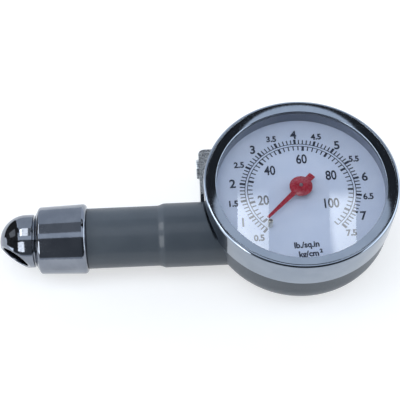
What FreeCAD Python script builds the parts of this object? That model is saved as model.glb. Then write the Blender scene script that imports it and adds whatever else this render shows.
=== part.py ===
import FreeCAD, Part

# Dial tyre pressure gauge, in millimetres.
# The origin is on the axis of the round head, on its flat back.
# +Z points out of the dial. The stem and the ball foot lie along -X, a little below the head's axis.
# Lengths along the stem are measured from the head's axis towards the ball foot and end in _u.

import math
import os
import Sketcher
from FreeCAD import Placement, Rotation, Vector

SIZES = {
    # head casting
    "case_r": 25.4, "case_wall": 2.4, "case_back_r": 10.4, "case_neck_r": 24.95,
    "shoulder_z": 16.4, "rim_z": 19.4, "case_seat_gap": 0.15, "feet_low_z": 3.0, "feet_thread_z": 5.2,
    # stem, part of the same casting
    "stem_y": -5.9, "stem_z": 9.9, "root_r": 8.85, "barrel_r": 8.3, "screw_end_r": 7.0,
    "root_u": 37.3, "cone_u": 38.9, "step_round": 1.2, "barrel_u": 58.3, "stem_u": 67.8, "stem_in_u": 17.0,
    "bore_in_u": 20.0, "swivel_bore_r": 4.06, "swivel_bore_u": 61.4, "valve_bore_r": 3.4,
    "valve_bore_u": 48.3,
    "feed_bore_r": 1.5,
    # bezel, glass and dial
    "bezel_gap": 0.1, "bezel_low_z": 16.55, "bezel_low_r": 26.05, "bezel_wide_r": 26.35,
    "bezel_wide_z": 23.9, "crest_r": 25.75, "crest_z": 26.0, "opening_r": 22.9, "lip_z": 25.2,
    "bezel_roll": 1.3, "lip_round": 0.25, "bezel_fall": 0.2, "gasket_gap": 0.03,
    "glass_r": 24.3, "glass_low_z": 23.6, "spacer_r": 24.7, "spacer_in_r": 22.95,
    "dial_r": 24.6, "dial_top_z": 20.2, "dial_hole_r": 1.7,
    "stop_r": 0.7, "stop_x": -9.04, "stop_y": -10.56, "stop_top_z": 22.9,
    # pointer and its arbor
    "disc_r": 3.1, "disc_low_z": 22.3, "disc_edge_z": 22.6, "disc_top_z": 22.95, "disc_dome": 0.05,
    "blade_top_z": 22.66, "blade_length": 13.4, "blade_root": 1.35, "blade_tip": 0.8,
    "tail_length": 4.6, "tail_width": 1.8,
    "pointer_angle": 224.3, "bush_r": 1.3, "bush_low_z": 20.9, "arbor_r": 0.5, "arbor_top_z": 23.3,
    # movement
    "floor_z": 2.4, "plate_low_z": 8.0, "plate": 0.8, "top_plate_z": 15.2, "plate_round": 2.4,
    "pillar_r": 1.4, "post_r": 2.0, "bolt_r": 0.8, "bolt_low": 1.2, "bolt_head_r": 1.3, "bolt_head": 0.9,
    "pillar_a_x": 7.0, "pillar_a_y": 5.5, "pillar_b_x": -8.6, "pillar_b_y": -3.8,
    "plate_c_x": 2.2, "plate_c_y": -2.6, "bearing_gap": 0.04, "journal_r": 0.45,
    "arbor_step": 0.15, "sector_step": 0.3, "end_gap": 0.1,
    "module": 0.25, "pinion_teeth": 10, "sector_teeth": 80, "gear_low_z": 11.0, "gear_top_z": 12.0,
    "pinion_low_z": 10.6, "pinion_top_z": 12.4, "hub_r": 1.6,
    "sector_x": -7.02, "sector_y": 8.79, "sector_line": 308.6, "swing": 34.0,
    "tail_arm": 4.5, "tail_line": 15.0, "link_length": 8.0, "link_low_z": 12.6, "link_top_z": 13.2,
    "link_pin_r": 0.4, "link_eye_r": 1.1, "tip_eye_hole": 0.68, "lug_width": 1.4, "lug_eye_r": 1.0,
    "hair_low_z": 13.4, "hair_top_z": 13.9, "hair_in_r": 1.1, "hair_pitch": 0.62, "hair_thick": 0.14,
    "collet_r": 1.05, "stud_x": 4.26, "stud_y": -1.2, "stud_r": 0.5,
    # pressure parts inside the head
    "tube_in_r": 17.4, "tube_out_r": 19.0, "tube_low_z": 7.4, "tube_top_z": 12.4, "tube_wall": 0.25,
    "tube_start": 213.5, "tube_sweep": 249.0, "seat_sweep": 12.0,
    "block_low_z": 7.4, "block_top_z": 16.2, "block_r": 22.2, "block_waste": 12.0,
    "block_in_x": -12.0, "block_out_x": -22.6, "block_far_u": 24.0,
    "block_low_y": -11.2, "block_top_y": 17.3, "block_nose_x": -11.0, "block_nose_y": 8.0,
    "way_r": 0.8, "way_a_x": -15.8, "way_b_x": -13.5, "way_low_y": -10.2, "feed_hole_r": 1.45,
    "feed_end_u": 18.0, "feed_wall": 0.6, "flange_low_u": 48.6, "flange_top_u": 49.6, "flange_r": 3.3,
    "socket_bolt_a_x": -19.8, "socket_bolt_a_y": 0.2, "socket_bolt_b_x": -19.4, "socket_bolt_b_y": 6.4,
    "socket_post_r": 1.6, "socket_bolt_r": 0.7, "socket_bolt_low_z": 5.4,
    # check valve in the stem
    "seat_low_u": 58.9, "seat_top_u": 61.3, "seat_hole_r": 1.2, "disc_low_u": 57.9, "seal_gap": 0.03,
    "check_disc_r": 2.4, "poppet_low_u": 56.3, "poppet_r": 3.0, "guide_low_u": 53.4, "guide_r": 1.0,
    "check_coil_r": 1.75, "check_wire_r": 0.25, "check_turns": 6,
    # bleed valve
    "bleed_y": 13.6, "bleed_z": 12.4, "housing_face_u": 27.0, "housing_end_u": 15.0,
    "housing_in_x": -16.0, "stem_cut_u": 16.0, "stem_far_u": 30.0, "spigot_far_u": 25.0,
    "housing_low_z": 7.9, "housing_low_y": 3.2, "housing_top_y": 17.6, "housing_round": 1.6,
    "spigot_r": 3.4, "cap_bore_r": 2.87, "cap_bore_u": 23.6, "coil_bore_r": 2.0, "coil_bore_u": 20.6,
    "rod_bore_r": 1.0, "rod_r": 0.92, "cap_r": 2.75, "cap_low_u": 25.1, "cap_top_u": 27.7,
    "knurl_depth": 0.22, "knurls": 24,
    "bleed_disc_r": 1.8, "bleed_disc_low_u": 14.1, "bleed_flange_low_u": 13.5, "chamber_r": 2.3,
    "chamber_low_u": 11.9, "bleed_coil_r": 1.5, "bleed_wire_r": 0.22, "bleed_turns": 6,
    # ring nut and ball foot
    "collar_low_u": 58.4, "collar_top_u": 72.45, "collar_low_r": 9.65, "collar_top_r": 9.2,
    "collar_round": 1.1, "collar_lip_u": 70.5, "bevel_long": 1.1, "bevel_deep": 1.9, "bevel_round": 0.8,
    "neck_hole_r": 6.07, "neck_r": 6.0, "foot_u": 72.95, "ball_u": 75.2, "ball_r": 7.3, "foot_flange_r": 6.9,
    "foot_flange_low_u": 68.0, "foot_flange_top_u": 70.35, "spigot_end_u": 62.0, "foot_spigot_r": 4.0,
    "foot_way_r": 1.6, "ring_u": 65.6, "ring_groove_r": 3.1, "ring_groove": 1.1, "ring_wire_r": 0.44,
    "mouth_plane": 5.5, "mouth_r": 4.05, "seal_front": 2.5, "seal_back": 0.4, "seal_hole_r": 1.5,
    "seal_r": 3.85, "pin_r": 0.8, "pin_tip": 2.2, "pin_root": -4.6, "way_root": -1.6,
    "mouth_x": -0.58, "mouth_y": -0.80, "mouth_z": -0.15,
}


class Dim:
    """A size that knows its value and the sheet expression that gives it."""

    def __init__(self, value, text):
        self.value = float(value)
        self.text = text

    def __add__(self, other):
        other = as_dim(other)
        return Dim(self.value + other.value, f"({self.text} + {other.text})")

    def __sub__(self, other):
        other = as_dim(other)
        return Dim(self.value - other.value, f"({self.text} - {other.text})")

    def __mul__(self, other):
        other = as_dim(other)
        return Dim(self.value * other.value, f"({self.text} * {other.text})")

    def __neg__(self):
        return Dim(-self.value, f"(0 - {self.text})")


def as_dim(number):
    return number if isinstance(number, Dim) else Dim(number, repr(float(number)))


class Sizes:
    """Every named size of the sheet, as an attribute."""

    def __init__(self, sheet, sizes):
        for row, (alias, number) in enumerate(sizes.items(), start=1):
            sheet.set(f"A{row}", alias)
            sheet.set(f"B{row}", str(number))
            sheet.setAlias(f"B{row}", alias)
            setattr(self, alias, Dim(number, f"dims.{alias}"))


doc = FreeCAD.newDocument("tyre_gauge")
dims_sheet = doc.addObject("Spreadsheet::Sheet", "dims")
D = Sizes(dims_sheet, SIZES)
doc.recompute()
ZERO = as_dim(0)
SUBPARTS = []


# ---------------------------------------------------------------- sketches and features

def new_body(label):
    body = doc.addObject("PartDesign::Body", label)
    body.Label = label
    SUBPARTS.append(body)
    return body


def origin_item(body, role):
    return next(item for item in body.Origin.OriginFeatures if item.Role == role)


def new_sketch(body, role, shift=None, turn=None):
    """A sketch on one of the body's own planes, moved by shift (Dims) and turned by turn."""
    sketch = body.newObject("Sketcher::SketchObject", f"{body.Label}_sketch")
    sketch.AttachmentSupport = [(origin_item(body, role), "")]
    sketch.MapMode = "FlatFace"
    shift = shift or (ZERO, ZERO, ZERO)
    base = Vector(*(part.value for part in shift))
    sketch.AttachmentOffset = Placement(base, turn or Rotation())
    for axis, part in zip("xyz", shift):
        if part is not ZERO:
            sketch.setExpression(f"AttachmentOffset.Base.{axis}", part.text)
    return sketch


def hold(sketch, kind, where, number, axis_geometry):
    """Fixes one coordinate of a point: on the axis when it is zero, else by a bound distance."""
    geometry, point = where
    if number.value == 0:
        sketch.addConstraint(Sketcher.Constraint("PointOnObject", geometry, point, axis_geometry))
        return
    made = sketch.addConstraint(Sketcher.Constraint(kind, -1, 1, geometry, point, number.value))
    sketch.setExpression(f"Constraints[{made}]", number.text)


def add_outline(sketch, points):
    """A closed outline through points, each (x, y) or, where an arc follows it, (x, y, centre)."""
    count = len(points)
    first = sketch.GeometryCount
    spots = [Vector(point[0].value, point[1].value, 0) for point in points]
    starts = []
    for i, point in enumerate(points):
        here, there = spots[i], spots[(i + 1) % count]
        starts.append(1)
        if len(point) == 2:
            sketch.addGeometry(Part.LineSegment(here, there), False)
            continue
        middle = Vector(point[2][0].value, point[2][1].value, 0)
        reach = ((here + there) * 0.5 - middle).normalize() * (here - middle).Length
        made = sketch.addGeometry(Part.Arc(here, middle + reach, there), False)
        if (sketch.Geometry[made].StartPoint - here).Length > 1e-6:
            starts[-1] = 2
        hold(sketch, "DistanceX", (made, 3), point[2][0], -2)
    for i in range(count):
        after = (i + 1) % count
        sketch.addConstraint(Sketcher.Constraint("Coincident", first + i, 3 - starts[i],
                                                 first + after, starts[after]))
    for i, point in enumerate(points):
        hold(sketch, "DistanceX", (first + i, starts[i]), point[0], -2)
        hold(sketch, "DistanceY", (first + i, starts[i]), point[1], -1)


def add_circle(sketch, x, y, radius):
    centre = Vector(x.value, y.value, 0)
    made = sketch.addGeometry(Part.Circle(centre, Vector(0, 0, 1), radius.value), False)
    hold(sketch, "DistanceX", (made, 3), x, -2)
    hold(sketch, "DistanceY", (made, 3), y, -1)
    size = sketch.addConstraint(Sketcher.Constraint("Radius", made, radius.value))
    sketch.setExpression(f"Constraints[{size}]", radius.text)


def spin(body, kind, sketch, axis, angle=360.0):
    feature = body.newObject(f"PartDesign::{kind}", f"{body.Label}_{kind.lower()}")
    feature.Profile = sketch
    feature.ReferenceAxis = (sketch, [axis])
    feature.Angle = angle
    sketch.Visibility = False
    return feature


def turn_upright(body, points, kind="Revolution", x=ZERO, y=ZERO, angle=360.0):
    """Turns an outline of (radius, height) about an upright axis through (x, y)."""
    sketch = new_sketch(body, "XZ_Plane", (x, ZERO, -y if y is not ZERO else ZERO))
    add_outline(sketch, points)
    return spin(body, kind, sketch, "V_Axis", angle)


def turn_along_stem(body, points, kind="Revolution", y=D.stem_y, z=D.stem_z):
    """Turns an outline of (distance from the head's axis, radius) about a line along -X."""
    flat = Rotation(Vector(0, 0, 1), 180)
    sketch = new_sketch(body, "XY_Plane", (ZERO, y, z), flat)
    add_outline(sketch, points)
    return spin(body, kind, sketch, "H_Axis")


def raise_up(body, outlines, low, top, kind="Pad"):
    """Pads or pockets outlines and circles between two heights."""
    sketch = new_sketch(body, "XY_Plane", (ZERO, ZERO, low))
    for outline in outlines:
        if isinstance(outline, tuple):
            add_circle(sketch, *outline)
        else:
            add_outline(sketch, outline)
    feature = body.newObject(f"PartDesign::{kind}", f"{body.Label}_{kind.lower()}")
    feature.Profile = sketch
    feature.Length = (top - low).value
    feature.setExpression("Length", (top - low).text)
    if kind == "Pocket":
        feature.Reversed = True
    sketch.Visibility = False
    return feature


def ring(inner, outer, low, top):
    return [(inner, low), (outer, low), (outer, top), (inner, top)]


def stem_ring(low, top, inner, outer):
    return [(low, inner), (top, inner), (top, outer), (low, outer)]


def round_rims(body, radius, rims, kind="Fillet", axis="z"):
    """Rounds the circular edges whose (radius, place along the axis) is in rims."""
    doc.recompute()
    names = []
    for number, edge in enumerate(body.Shape.Edges, start=1):
        curve = edge.Curve
        if not isinstance(curve, Part.Circle):
            continue
        place = curve.Center.z if axis == "z" else -curve.Center.x
        for rim_radius, rim_place in rims:
            near_radius = abs(curve.Radius - rim_radius.value) < 0.01
            if near_radius and abs(place - rim_place.value) < 0.01:
                names.append(f"Edge{number}")
    if not names:
        raise ValueError(f"{body.Label}: no edge to round")
    feature = body.newObject(f"PartDesign::{kind}", f"{body.Label}_{kind.lower()}")
    feature.Base = (feature.BaseFeature or body.Tip, names)
    prop = "Radius" if kind == "Fillet" else "Size"
    setattr(feature, prop, radius.value)
    feature.setExpression(prop, radius.text)
    return feature


def round_uprights(body, radius, spots):
    """Rounds the upright edges that pass through the (x, y) spots."""
    doc.recompute()
    names = []
    for number, edge in enumerate(body.Shape.Edges, start=1):
        ends = [vertex.Point for vertex in edge.Vertexes]
        upright = len(ends) == 2 and abs(ends[0].x - ends[1].x) + abs(ends[0].y - ends[1].y) < 0.001
        if upright and any(abs(ends[0].x - x.value) + abs(ends[0].y - y.value) < 0.02 for x, y in spots):
            names.append(f"Edge{number}")
    feature = body.newObject("PartDesign::Fillet", f"{body.Label}_corner")
    feature.Base = (feature.BaseFeature or body.Tip, names)
    feature.Radius = radius.value
    feature.setExpression("Radius", radius.text)
    return feature


def repeat_round(body, feature, count, angle=360.0):
    """Repeats a feature about the body's own Z axis."""
    pattern = body.newObject("PartDesign::PolarPattern", f"{body.Label}_pattern")
    pattern.Originals = [feature]
    pattern.Axis = (origin_item(body, "Z_Axis"), [""])
    pattern.Angle = angle
    pattern.Occurrences = count
    body.Tip = pattern
    return pattern


def place(body, x, y, z, rotation=None):
    """Puts a body that was drawn about its own origin at its place in the gauge."""
    body.Placement = Placement(Vector(x.value, y.value, z.value), rotation or Rotation())
    for axis, part in zip("xyz", (x, y, z)):
        body.setExpression(f"Placement.Base.{axis}", part.text)


def shaped(label, shape, placement=None):
    """A sub-part whose shape is made with Part's own functions."""
    piece = doc.addObject("Part::Feature", label)
    piece.Label = label
    piece.Shape = shape
    if placement:
        piece.Placement = placement
    SUBPARTS.append(piece)
    return piece


# ---------------------------------------------------------------- head and stem

def build_case():
    """The casting: a round pot with a thick stem out of its side."""
    body = new_body("case_body")
    turn_upright(body, [(ZERO, ZERO), (D.case_r, ZERO), (D.case_r, D.rim_z), (ZERO, D.rim_z)])
    round_rims(body, D.case_back_r, [(D.case_r, ZERO)])
    stem = [(D.stem_in_u, ZERO), (D.stem_u, ZERO), (D.stem_u, D.screw_end_r), (D.barrel_u, D.screw_end_r),
            (D.barrel_u, D.barrel_r), (D.cone_u, D.barrel_r), (D.root_u, D.root_r), (D.stem_in_u, D.root_r)]
    turn_along_stem(body, stem)
    round_rims(body, D.step_round, [(D.barrel_r, D.cone_u), (D.root_r, D.root_u)], axis="u")
    inner_r = D.case_r - D.case_wall
    bend_x = D.case_r - D.case_back_r
    bend = (bend_x, D.case_back_r)
    turn_upright(body, [(ZERO, D.floor_z), (bend_x, D.floor_z, bend), (inner_r, D.case_back_r),
                        (inner_r, D.crest_z), (ZERO, D.crest_z)], "Groove")
    room = D.bezel_wide_r + D.case_seat_gap
    turn_upright(body, ring(D.case_neck_r, room, D.shoulder_z, D.crest_z), "Groove")
    bores = [(D.bore_in_u, ZERO), (D.stem_u + 1, ZERO), (D.stem_u + 1, D.swivel_bore_r),
             (D.swivel_bore_u, D.swivel_bore_r), (D.swivel_bore_u, D.valve_bore_r),
             (D.valve_bore_u, D.valve_bore_r), (D.valve_bore_u, D.feed_bore_r),
             (D.bore_in_u, D.feed_bore_r)]
    turn_along_stem(body, bores, "Groove")
    mouth = [(D.housing_end_u, ZERO), (D.case_r, ZERO), (D.case_r, D.spigot_r), (D.housing_end_u, D.spigot_r)]
    turn_along_stem(body, mouth, "Groove", D.bleed_y, D.bleed_z)
    posts = [(D.pillar_a_x, D.pillar_a_y, D.post_r), (D.pillar_b_x, D.pillar_b_y, D.post_r)]
    raise_up(body, posts, D.floor_z - 1, D.plate_low_z)
    feet = [(D.socket_bolt_a_x, D.socket_bolt_a_y, D.socket_post_r),
            (D.socket_bolt_b_x, D.socket_bolt_b_y, D.socket_post_r)]
    raise_up(body, feet, D.feet_low_z, D.block_low_z)
    threads = [(D.pillar_a_x, D.pillar_a_y, D.bolt_r), (D.pillar_b_x, D.pillar_b_y, D.bolt_r)]
    raise_up(body, threads, D.floor_z + 1, D.plate_low_z, "Pocket")
    threads = [(D.socket_bolt_a_x, D.socket_bolt_a_y, D.socket_bolt_r),
               (D.socket_bolt_b_x, D.socket_bolt_b_y, D.socket_bolt_r)]
    raise_up(body, threads, D.feet_thread_z, D.block_low_z, "Pocket")


def build_front():
    """Bezel, glass, its gasket, the ring below it, the dial and the pointer's stop."""
    body = new_body("bezel")
    inner = D.case_neck_r + D.bezel_gap
    lip_top = D.crest_z - D.bezel_fall
    turn_upright(body, [(inner, D.bezel_low_z), (D.bezel_low_r, D.bezel_low_z),
                        (D.bezel_wide_r, D.bezel_wide_z), (D.crest_r, D.crest_z),
                        (D.opening_r, lip_top), (D.opening_r, D.lip_z), (inner, D.lip_z)])
    round_rims(body, D.bezel_roll, [(D.bezel_wide_r, D.bezel_wide_z)])
    round_rims(body, D.bezel_roll * 0.6, [(D.crest_r, D.crest_z)])
    round_rims(body, D.lip_round, [(D.opening_r, lip_top)])

    body = new_body("crystal")
    turn_upright(body, ring(ZERO, D.glass_r, D.glass_low_z, D.lip_z))
    body = new_body("crystal_gasket")
    turn_upright(body, ring(D.glass_r + D.gasket_gap, D.case_neck_r, D.glass_low_z,
                            D.lip_z - D.gasket_gap))
    body = new_body("spacer_ring")
    turn_upright(body, ring(D.spacer_in_r, D.spacer_r, D.dial_top_z, D.glass_low_z))
    body = new_body("dial_plate")
    holes = [(ZERO, ZERO, D.dial_hole_r), (D.stop_x, D.stop_y, D.stop_r)]
    raise_up(body, [(ZERO, ZERO, D.dial_r)] + holes, D.rim_z, D.dial_top_z)
    body = new_body("stop_pin")
    turn_upright(body, ring(ZERO, D.stop_r, D.rim_z, D.stop_top_z), x=D.stop_x, y=D.stop_y)
    round_rims(body, D.stop_r * 0.4, [(D.stop_r, D.stop_top_z)])


def build_collar():
    """The chromed ring nut on the end of the stem, which holds the ball foot."""
    body = new_body("collar")
    bevel = D.collar_top_u - D.bevel_long
    turn_along_stem(body, [(D.collar_low_u, D.screw_end_r), (D.collar_low_u, D.collar_low_r),
                           (bevel, D.collar_top_r), (D.collar_top_u, D.collar_top_r - D.bevel_deep),
                           (D.collar_top_u, D.neck_hole_r), (D.collar_lip_u, D.neck_hole_r),
                           (D.collar_lip_u, D.screw_end_r)])
    round_rims(body, D.collar_round, [(D.collar_low_r, D.collar_low_u)], axis="u")
    round_rims(body, D.bevel_round, [(D.collar_top_r, bevel)], axis="u")


# ---------------------------------------------------------------- pointer and movement

def build_pointer():
    """The red pointer with its disc, drawn along +X and turned to its rest, and its brass bush."""
    body = new_body("pointer")
    half_root = D.blade_root * 0.5
    half_tip = D.blade_tip * 0.5
    half_tail = D.tail_width * 0.5
    blade = [(-D.tail_length, -half_tail), (ZERO, -half_tail), (ZERO, -half_root),
             (D.blade_length, -half_tip), (D.blade_length, half_tip), (ZERO, half_root),
             (ZERO, half_tail), (-D.tail_length, half_tail)]
    raise_up(body, [blade], D.disc_low_z, D.blade_top_z)
    turn_upright(body, [(ZERO, D.disc_low_z), (D.disc_r, D.disc_low_z), (D.disc_r, D.disc_edge_z),
                        (D.disc_r * 0.55, D.disc_top_z - D.disc_dome), (D.arbor_r * 1.6, D.disc_top_z),
                        (ZERO, D.disc_top_z)])
    turn_upright(body, ring(ZERO, D.arbor_r, D.disc_low_z - 1, D.crest_z), "Groove")
    place(body, ZERO, ZERO, ZERO, Rotation(Vector(0, 0, 1), D.pointer_angle.value))

    body = new_body("pointer_bush")
    turn_upright(body, ring(D.arbor_r, D.bush_r, D.bush_low_z, D.disc_low_z))


def build_plates():
    """The two movement plates, the tubes between them and the long screws through all."""
    bores = [(D.sector_x, D.sector_y, D.journal_r + D.bearing_gap),
             (D.pillar_a_x, D.pillar_a_y, D.bolt_r), (D.pillar_b_x, D.pillar_b_y, D.bolt_r)]
    arbor_bore = {"movement_bottom_plate": D.journal_r + D.bearing_gap,
                  "movement_top_plate": D.arbor_r + D.arbor_step + D.bearing_gap}
    corners = [(D.pillar_b_x, D.pillar_b_y), (D.plate_c_x, D.plate_c_y), (D.pillar_a_x, D.pillar_a_y),
               (D.sector_x, D.sector_y)]
    for label, low in (("movement_bottom_plate", D.plate_low_z), ("movement_top_plate", D.top_plate_z)):
        body = new_body(label)
        middle = [sum(spot[i].value for spot in corners) / len(corners) for i in (0, 1)]
        grown = [(x + math.copysign(D.plate_round.value, x.value - middle[0]),
                  y + math.copysign(D.plate_round.value, y.value - middle[1])) for x, y in corners]
        raise_up(body, [grown], low, low + D.plate)
        round_uprights(body, D.plate_round * 0.8, grown)
        holes = bores + [(ZERO, ZERO, arbor_bore[label])]
        raise_up(body, holes, low - 1, low + D.plate + 1, "Pocket")

    spots = [(D.pillar_a_x, D.pillar_a_y), (D.pillar_b_x, D.pillar_b_y)]
    low = D.plate_low_z + D.plate
    tubes = []
    screws = []
    for x, y in spots:
        foot = Vector(x.value, y.value, low.value)
        height = (D.top_plate_z - low).value
        tube = Part.makeCylinder(D.pillar_r.value, height, foot)
        tubes.append(tube.cut(Part.makeCylinder(D.bolt_r.value, height, foot)))
        screws.append(screw(x, y, D.floor_z + D.bolt_low, D.top_plate_z + D.plate, D.bolt_r, D.bolt_head_r))
    shaped("movement_pillars", Part.makeCompound(tubes))
    shaped("movement_screws", Part.makeCompound(screws))


def screw(x, y, low, head_z, radius, head_radius):
    """An upright screw with a slotted cheese head that sits at head_z."""
    spot = Vector(x.value, y.value, low.value)
    shank = Part.makeCylinder(radius.value, (head_z - low).value, spot)
    seat = Vector(x.value, y.value, head_z.value)
    head = Part.makeCylinder(head_radius.value, D.bolt_head.value, seat)
    slot_width = 0.4
    slot = Part.makeBox(4 * head_radius.value, slot_width, D.bolt_head.value,
                        seat + Vector(-2 * head_radius.value, -slot_width / 2, D.bolt_head.value / 2))
    return shank.fuse(head).cut(slot).removeSplitter()


def tooth(pitch_radius, outward):
    """One straight-sided gear tooth on +X; the pitch line is at pitch_radius."""
    module = D.module
    sink = 0.15
    low = pitch_radius - module * 1.25 - sink
    high = pitch_radius + module * outward
    half_low = module * 0.86
    half_high = module * 0.26
    return [(low, -half_low), (high, -half_high), (high, half_high), (low, half_low)]


def build_pinion():
    """The pinion with its arbor, which carries the pointer."""
    body = new_body("pinion_arbor")
    pitch = D.module * D.pinion_teeth * 0.5
    root = pitch - D.module * 1.25
    journal = D.journal_r
    wide = D.arbor_r + D.arbor_step
    low = D.plate_low_z
    shelf = low + D.plate + D.end_gap
    turn_upright(body, [(ZERO, low), (journal, low), (journal, shelf), (wide, shelf),
                        (wide, D.pinion_low_z), (root, D.pinion_low_z), (root, D.pinion_top_z),
                        (wide, D.pinion_top_z), (wide, D.bush_low_z), (D.arbor_r, D.bush_low_z),
                        (D.arbor_r, D.arbor_top_z), (ZERO, D.arbor_top_z)])
    first = raise_up(body, [tooth(pitch, 0.9)], D.pinion_low_z, D.pinion_top_z)
    repeat_round(body, first, int(D.pinion_teeth.value))
    body.Placement = Placement(Vector(), Rotation(Vector(0, 0, 1), mesh_turn()))


def mesh_turn():
    """How far the pinion is turned so that a gap meets the sector's tooth on the line of centres."""
    to_sector = math.degrees(math.atan2(D.sector_y.value, D.sector_x.value))
    pitch_angle = 360.0 / D.pinion_teeth.value
    swing_in_pinion = D.swing.value / 2 * D.sector_teeth.value / D.pinion_teeth.value
    return to_sector + pitch_angle / 2 + swing_in_pinion


def build_sector():
    """The toothed sector on its own pivot, with the tail that the link pulls."""
    pitch = D.module * D.sector_teeth * 0.5
    root = (pitch - D.module * 1.25).value
    step = 360.0 / D.sector_teeth.value
    side = 5
    reach = (side + 0.5) * step
    web = 1.6
    rim_in = root - 1.5
    low, top = D.gear_low_z.value, D.gear_top_z.value
    tall = top - low
    rim = Part.makeCylinder(root, tall, Vector(0, 0, low), Vector(0, 0, 1), 2 * reach)
    rim = rim.cut(Part.makeCylinder(rim_in, tall, Vector(0, 0, low)))
    rim.rotate(Vector(), Vector(0, 0, 1), -reach)
    spokes = []
    for angle in (-reach * 0.75, reach * 0.75):
        spoke = Part.makeBox(rim_in + 0.4, web, tall, Vector(0, -web / 2, low))
        spoke.rotate(Vector(), Vector(0, 0, 1), angle)
        spokes.append(spoke)
    hub = Part.makeCylinder(D.hub_r.value, tall, Vector(0, 0, low))
    tail_turn = D.tail_line.value - D.sector_line.value
    tail = Part.makeBox(D.tail_arm.value, 2 * web * 0.6, tall, Vector(0, -web * 0.6, low))
    eye = Part.makeCylinder(D.link_eye_r.value, tall, Vector(D.tail_arm.value, 0, low))
    tail = tail.fuse(eye)
    tail.rotate(Vector(), Vector(0, 0, 1), tail_turn)
    teeth = []
    outline = [Vector(x.value, y.value, low) for x, y in tooth(pitch, 0.9)]
    for number in range(-side, side + 1):
        face = Part.Face(Part.makePolygon(outline + outline[:1]))
        one = face.extrude(Vector(0, 0, tall))
        one.rotate(Vector(), Vector(0, 0, 1), number * step)
        teeth.append(one)
    whole = rim.multiFuse(spokes + [hub, tail] + teeth)
    arbor_r = D.arbor_r + D.sector_step
    arbor_hole = Part.makeCylinder(arbor_r.value, tall, Vector(0, 0, low))
    whole = whole.cut(arbor_hole)
    pin_spot = Vector(D.tail_arm.value, 0, low)
    pin_spot = Rotation(Vector(0, 0, 1), tail_turn).multVec(pin_spot)
    whole = whole.cut(Part.makeCylinder(D.link_pin_r.value, tall, pin_spot)).removeSplitter()
    rest = Placement(Vector(D.sector_x.value, D.sector_y.value, 0),
                     Rotation(Vector(0, 0, 1), D.sector_line.value - D.swing.value / 2))
    shaped("sector_gear", whole, rest)

    body = new_body("sector_arbor")
    low_z = D.plate_low_z
    top_z = D.top_plate_z
    shelf = low_z + D.plate + D.end_gap
    shoulder = top_z - D.end_gap
    turn_upright(body, [(ZERO, low_z), (D.journal_r, low_z), (D.journal_r, shelf), (arbor_r, shelf),
                        (arbor_r, shoulder), (D.journal_r, shoulder), (D.journal_r, top_z + D.plate),
                        (ZERO, top_z + D.plate)], x=D.sector_x, y=D.sector_y)


def tail_spot(swing_part):
    """The link pin's place on the tail, at a share of the sector's swing."""
    angle = math.radians(D.tail_line.value + (swing_part - 0.5) * D.swing.value)
    return Vector(D.sector_x.value + D.tail_arm.value * math.cos(angle),
                  D.sector_y.value + D.tail_arm.value * math.sin(angle), 0)


def link_way():
    """The way that the Bourdon tube's tip moves, across the tail at mid swing."""
    angle = math.radians(D.tail_line.value)
    return Vector(-math.sin(angle), math.cos(angle), 0)


def build_link():
    """The link from the tail to the tip, its two pins, and the tip of the tube with its lug."""
    start = tail_spot(0.0)
    way = link_way()
    end = start + way * D.link_length.value
    low, top = D.link_low_z.value, D.link_top_z.value
    tall = top - low
    half = D.link_eye_r.value * 0.6
    bar = Part.makeBox(D.link_length.value, 2 * half, tall, Vector(0, -half, low))
    bar = bar.fuse(Part.makeCylinder(D.link_eye_r.value, tall, Vector(0, 0, low)))
    bar = bar.fuse(Part.makeCylinder(D.link_eye_r.value + 0.2, tall, Vector(D.link_length.value, 0, low)))
    near_hole = D.link_pin_r.value + D.bearing_gap.value
    bar = bar.cut(Part.makeCylinder(near_hole, tall, Vector(0, 0, low)))
    bar = bar.cut(Part.makeCylinder(D.tip_eye_hole.value, tall, Vector(D.link_length.value, 0, low)))
    turn = Rotation(Vector(0, 0, 1), D.tail_line.value + 90)
    shaped("link_bar", bar.removeSplitter(), Placement(start, turn))

    pin = Part.makeCylinder(D.link_pin_r.value, top + 0.5 - D.gear_low_z.value,
                            Vector(0, 0, D.gear_low_z.value))
    head = Part.makeCylinder(D.link_pin_r.value + 0.25, 0.4, Vector(0, 0, top + 0.1))
    shaped("link_pin", pin.fuse(head).removeSplitter(), Placement(start, Rotation()))

    sag = D.tail_arm.value * (1 - math.cos(math.radians(D.swing.value / 2)))
    across = Vector(way.y, -way.x, 0)
    tip_spot = end + across * (sag / 2)
    lug_top = low - 0.15
    lug_low = lug_top - 0.8
    tip_pin = Part.makeCylinder(D.link_pin_r.value, top + 0.5 - lug_low, Vector(0, 0, lug_low))
    tip_head = Part.makeCylinder(D.link_pin_r.value + 0.5, 0.4, Vector(0, 0, top + 0.1))
    shaped("tip_pin", tip_pin.fuse(tip_head).removeSplitter(), Placement(tip_spot, Rotation()))
    return tip_spot, lug_low, lug_top


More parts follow.
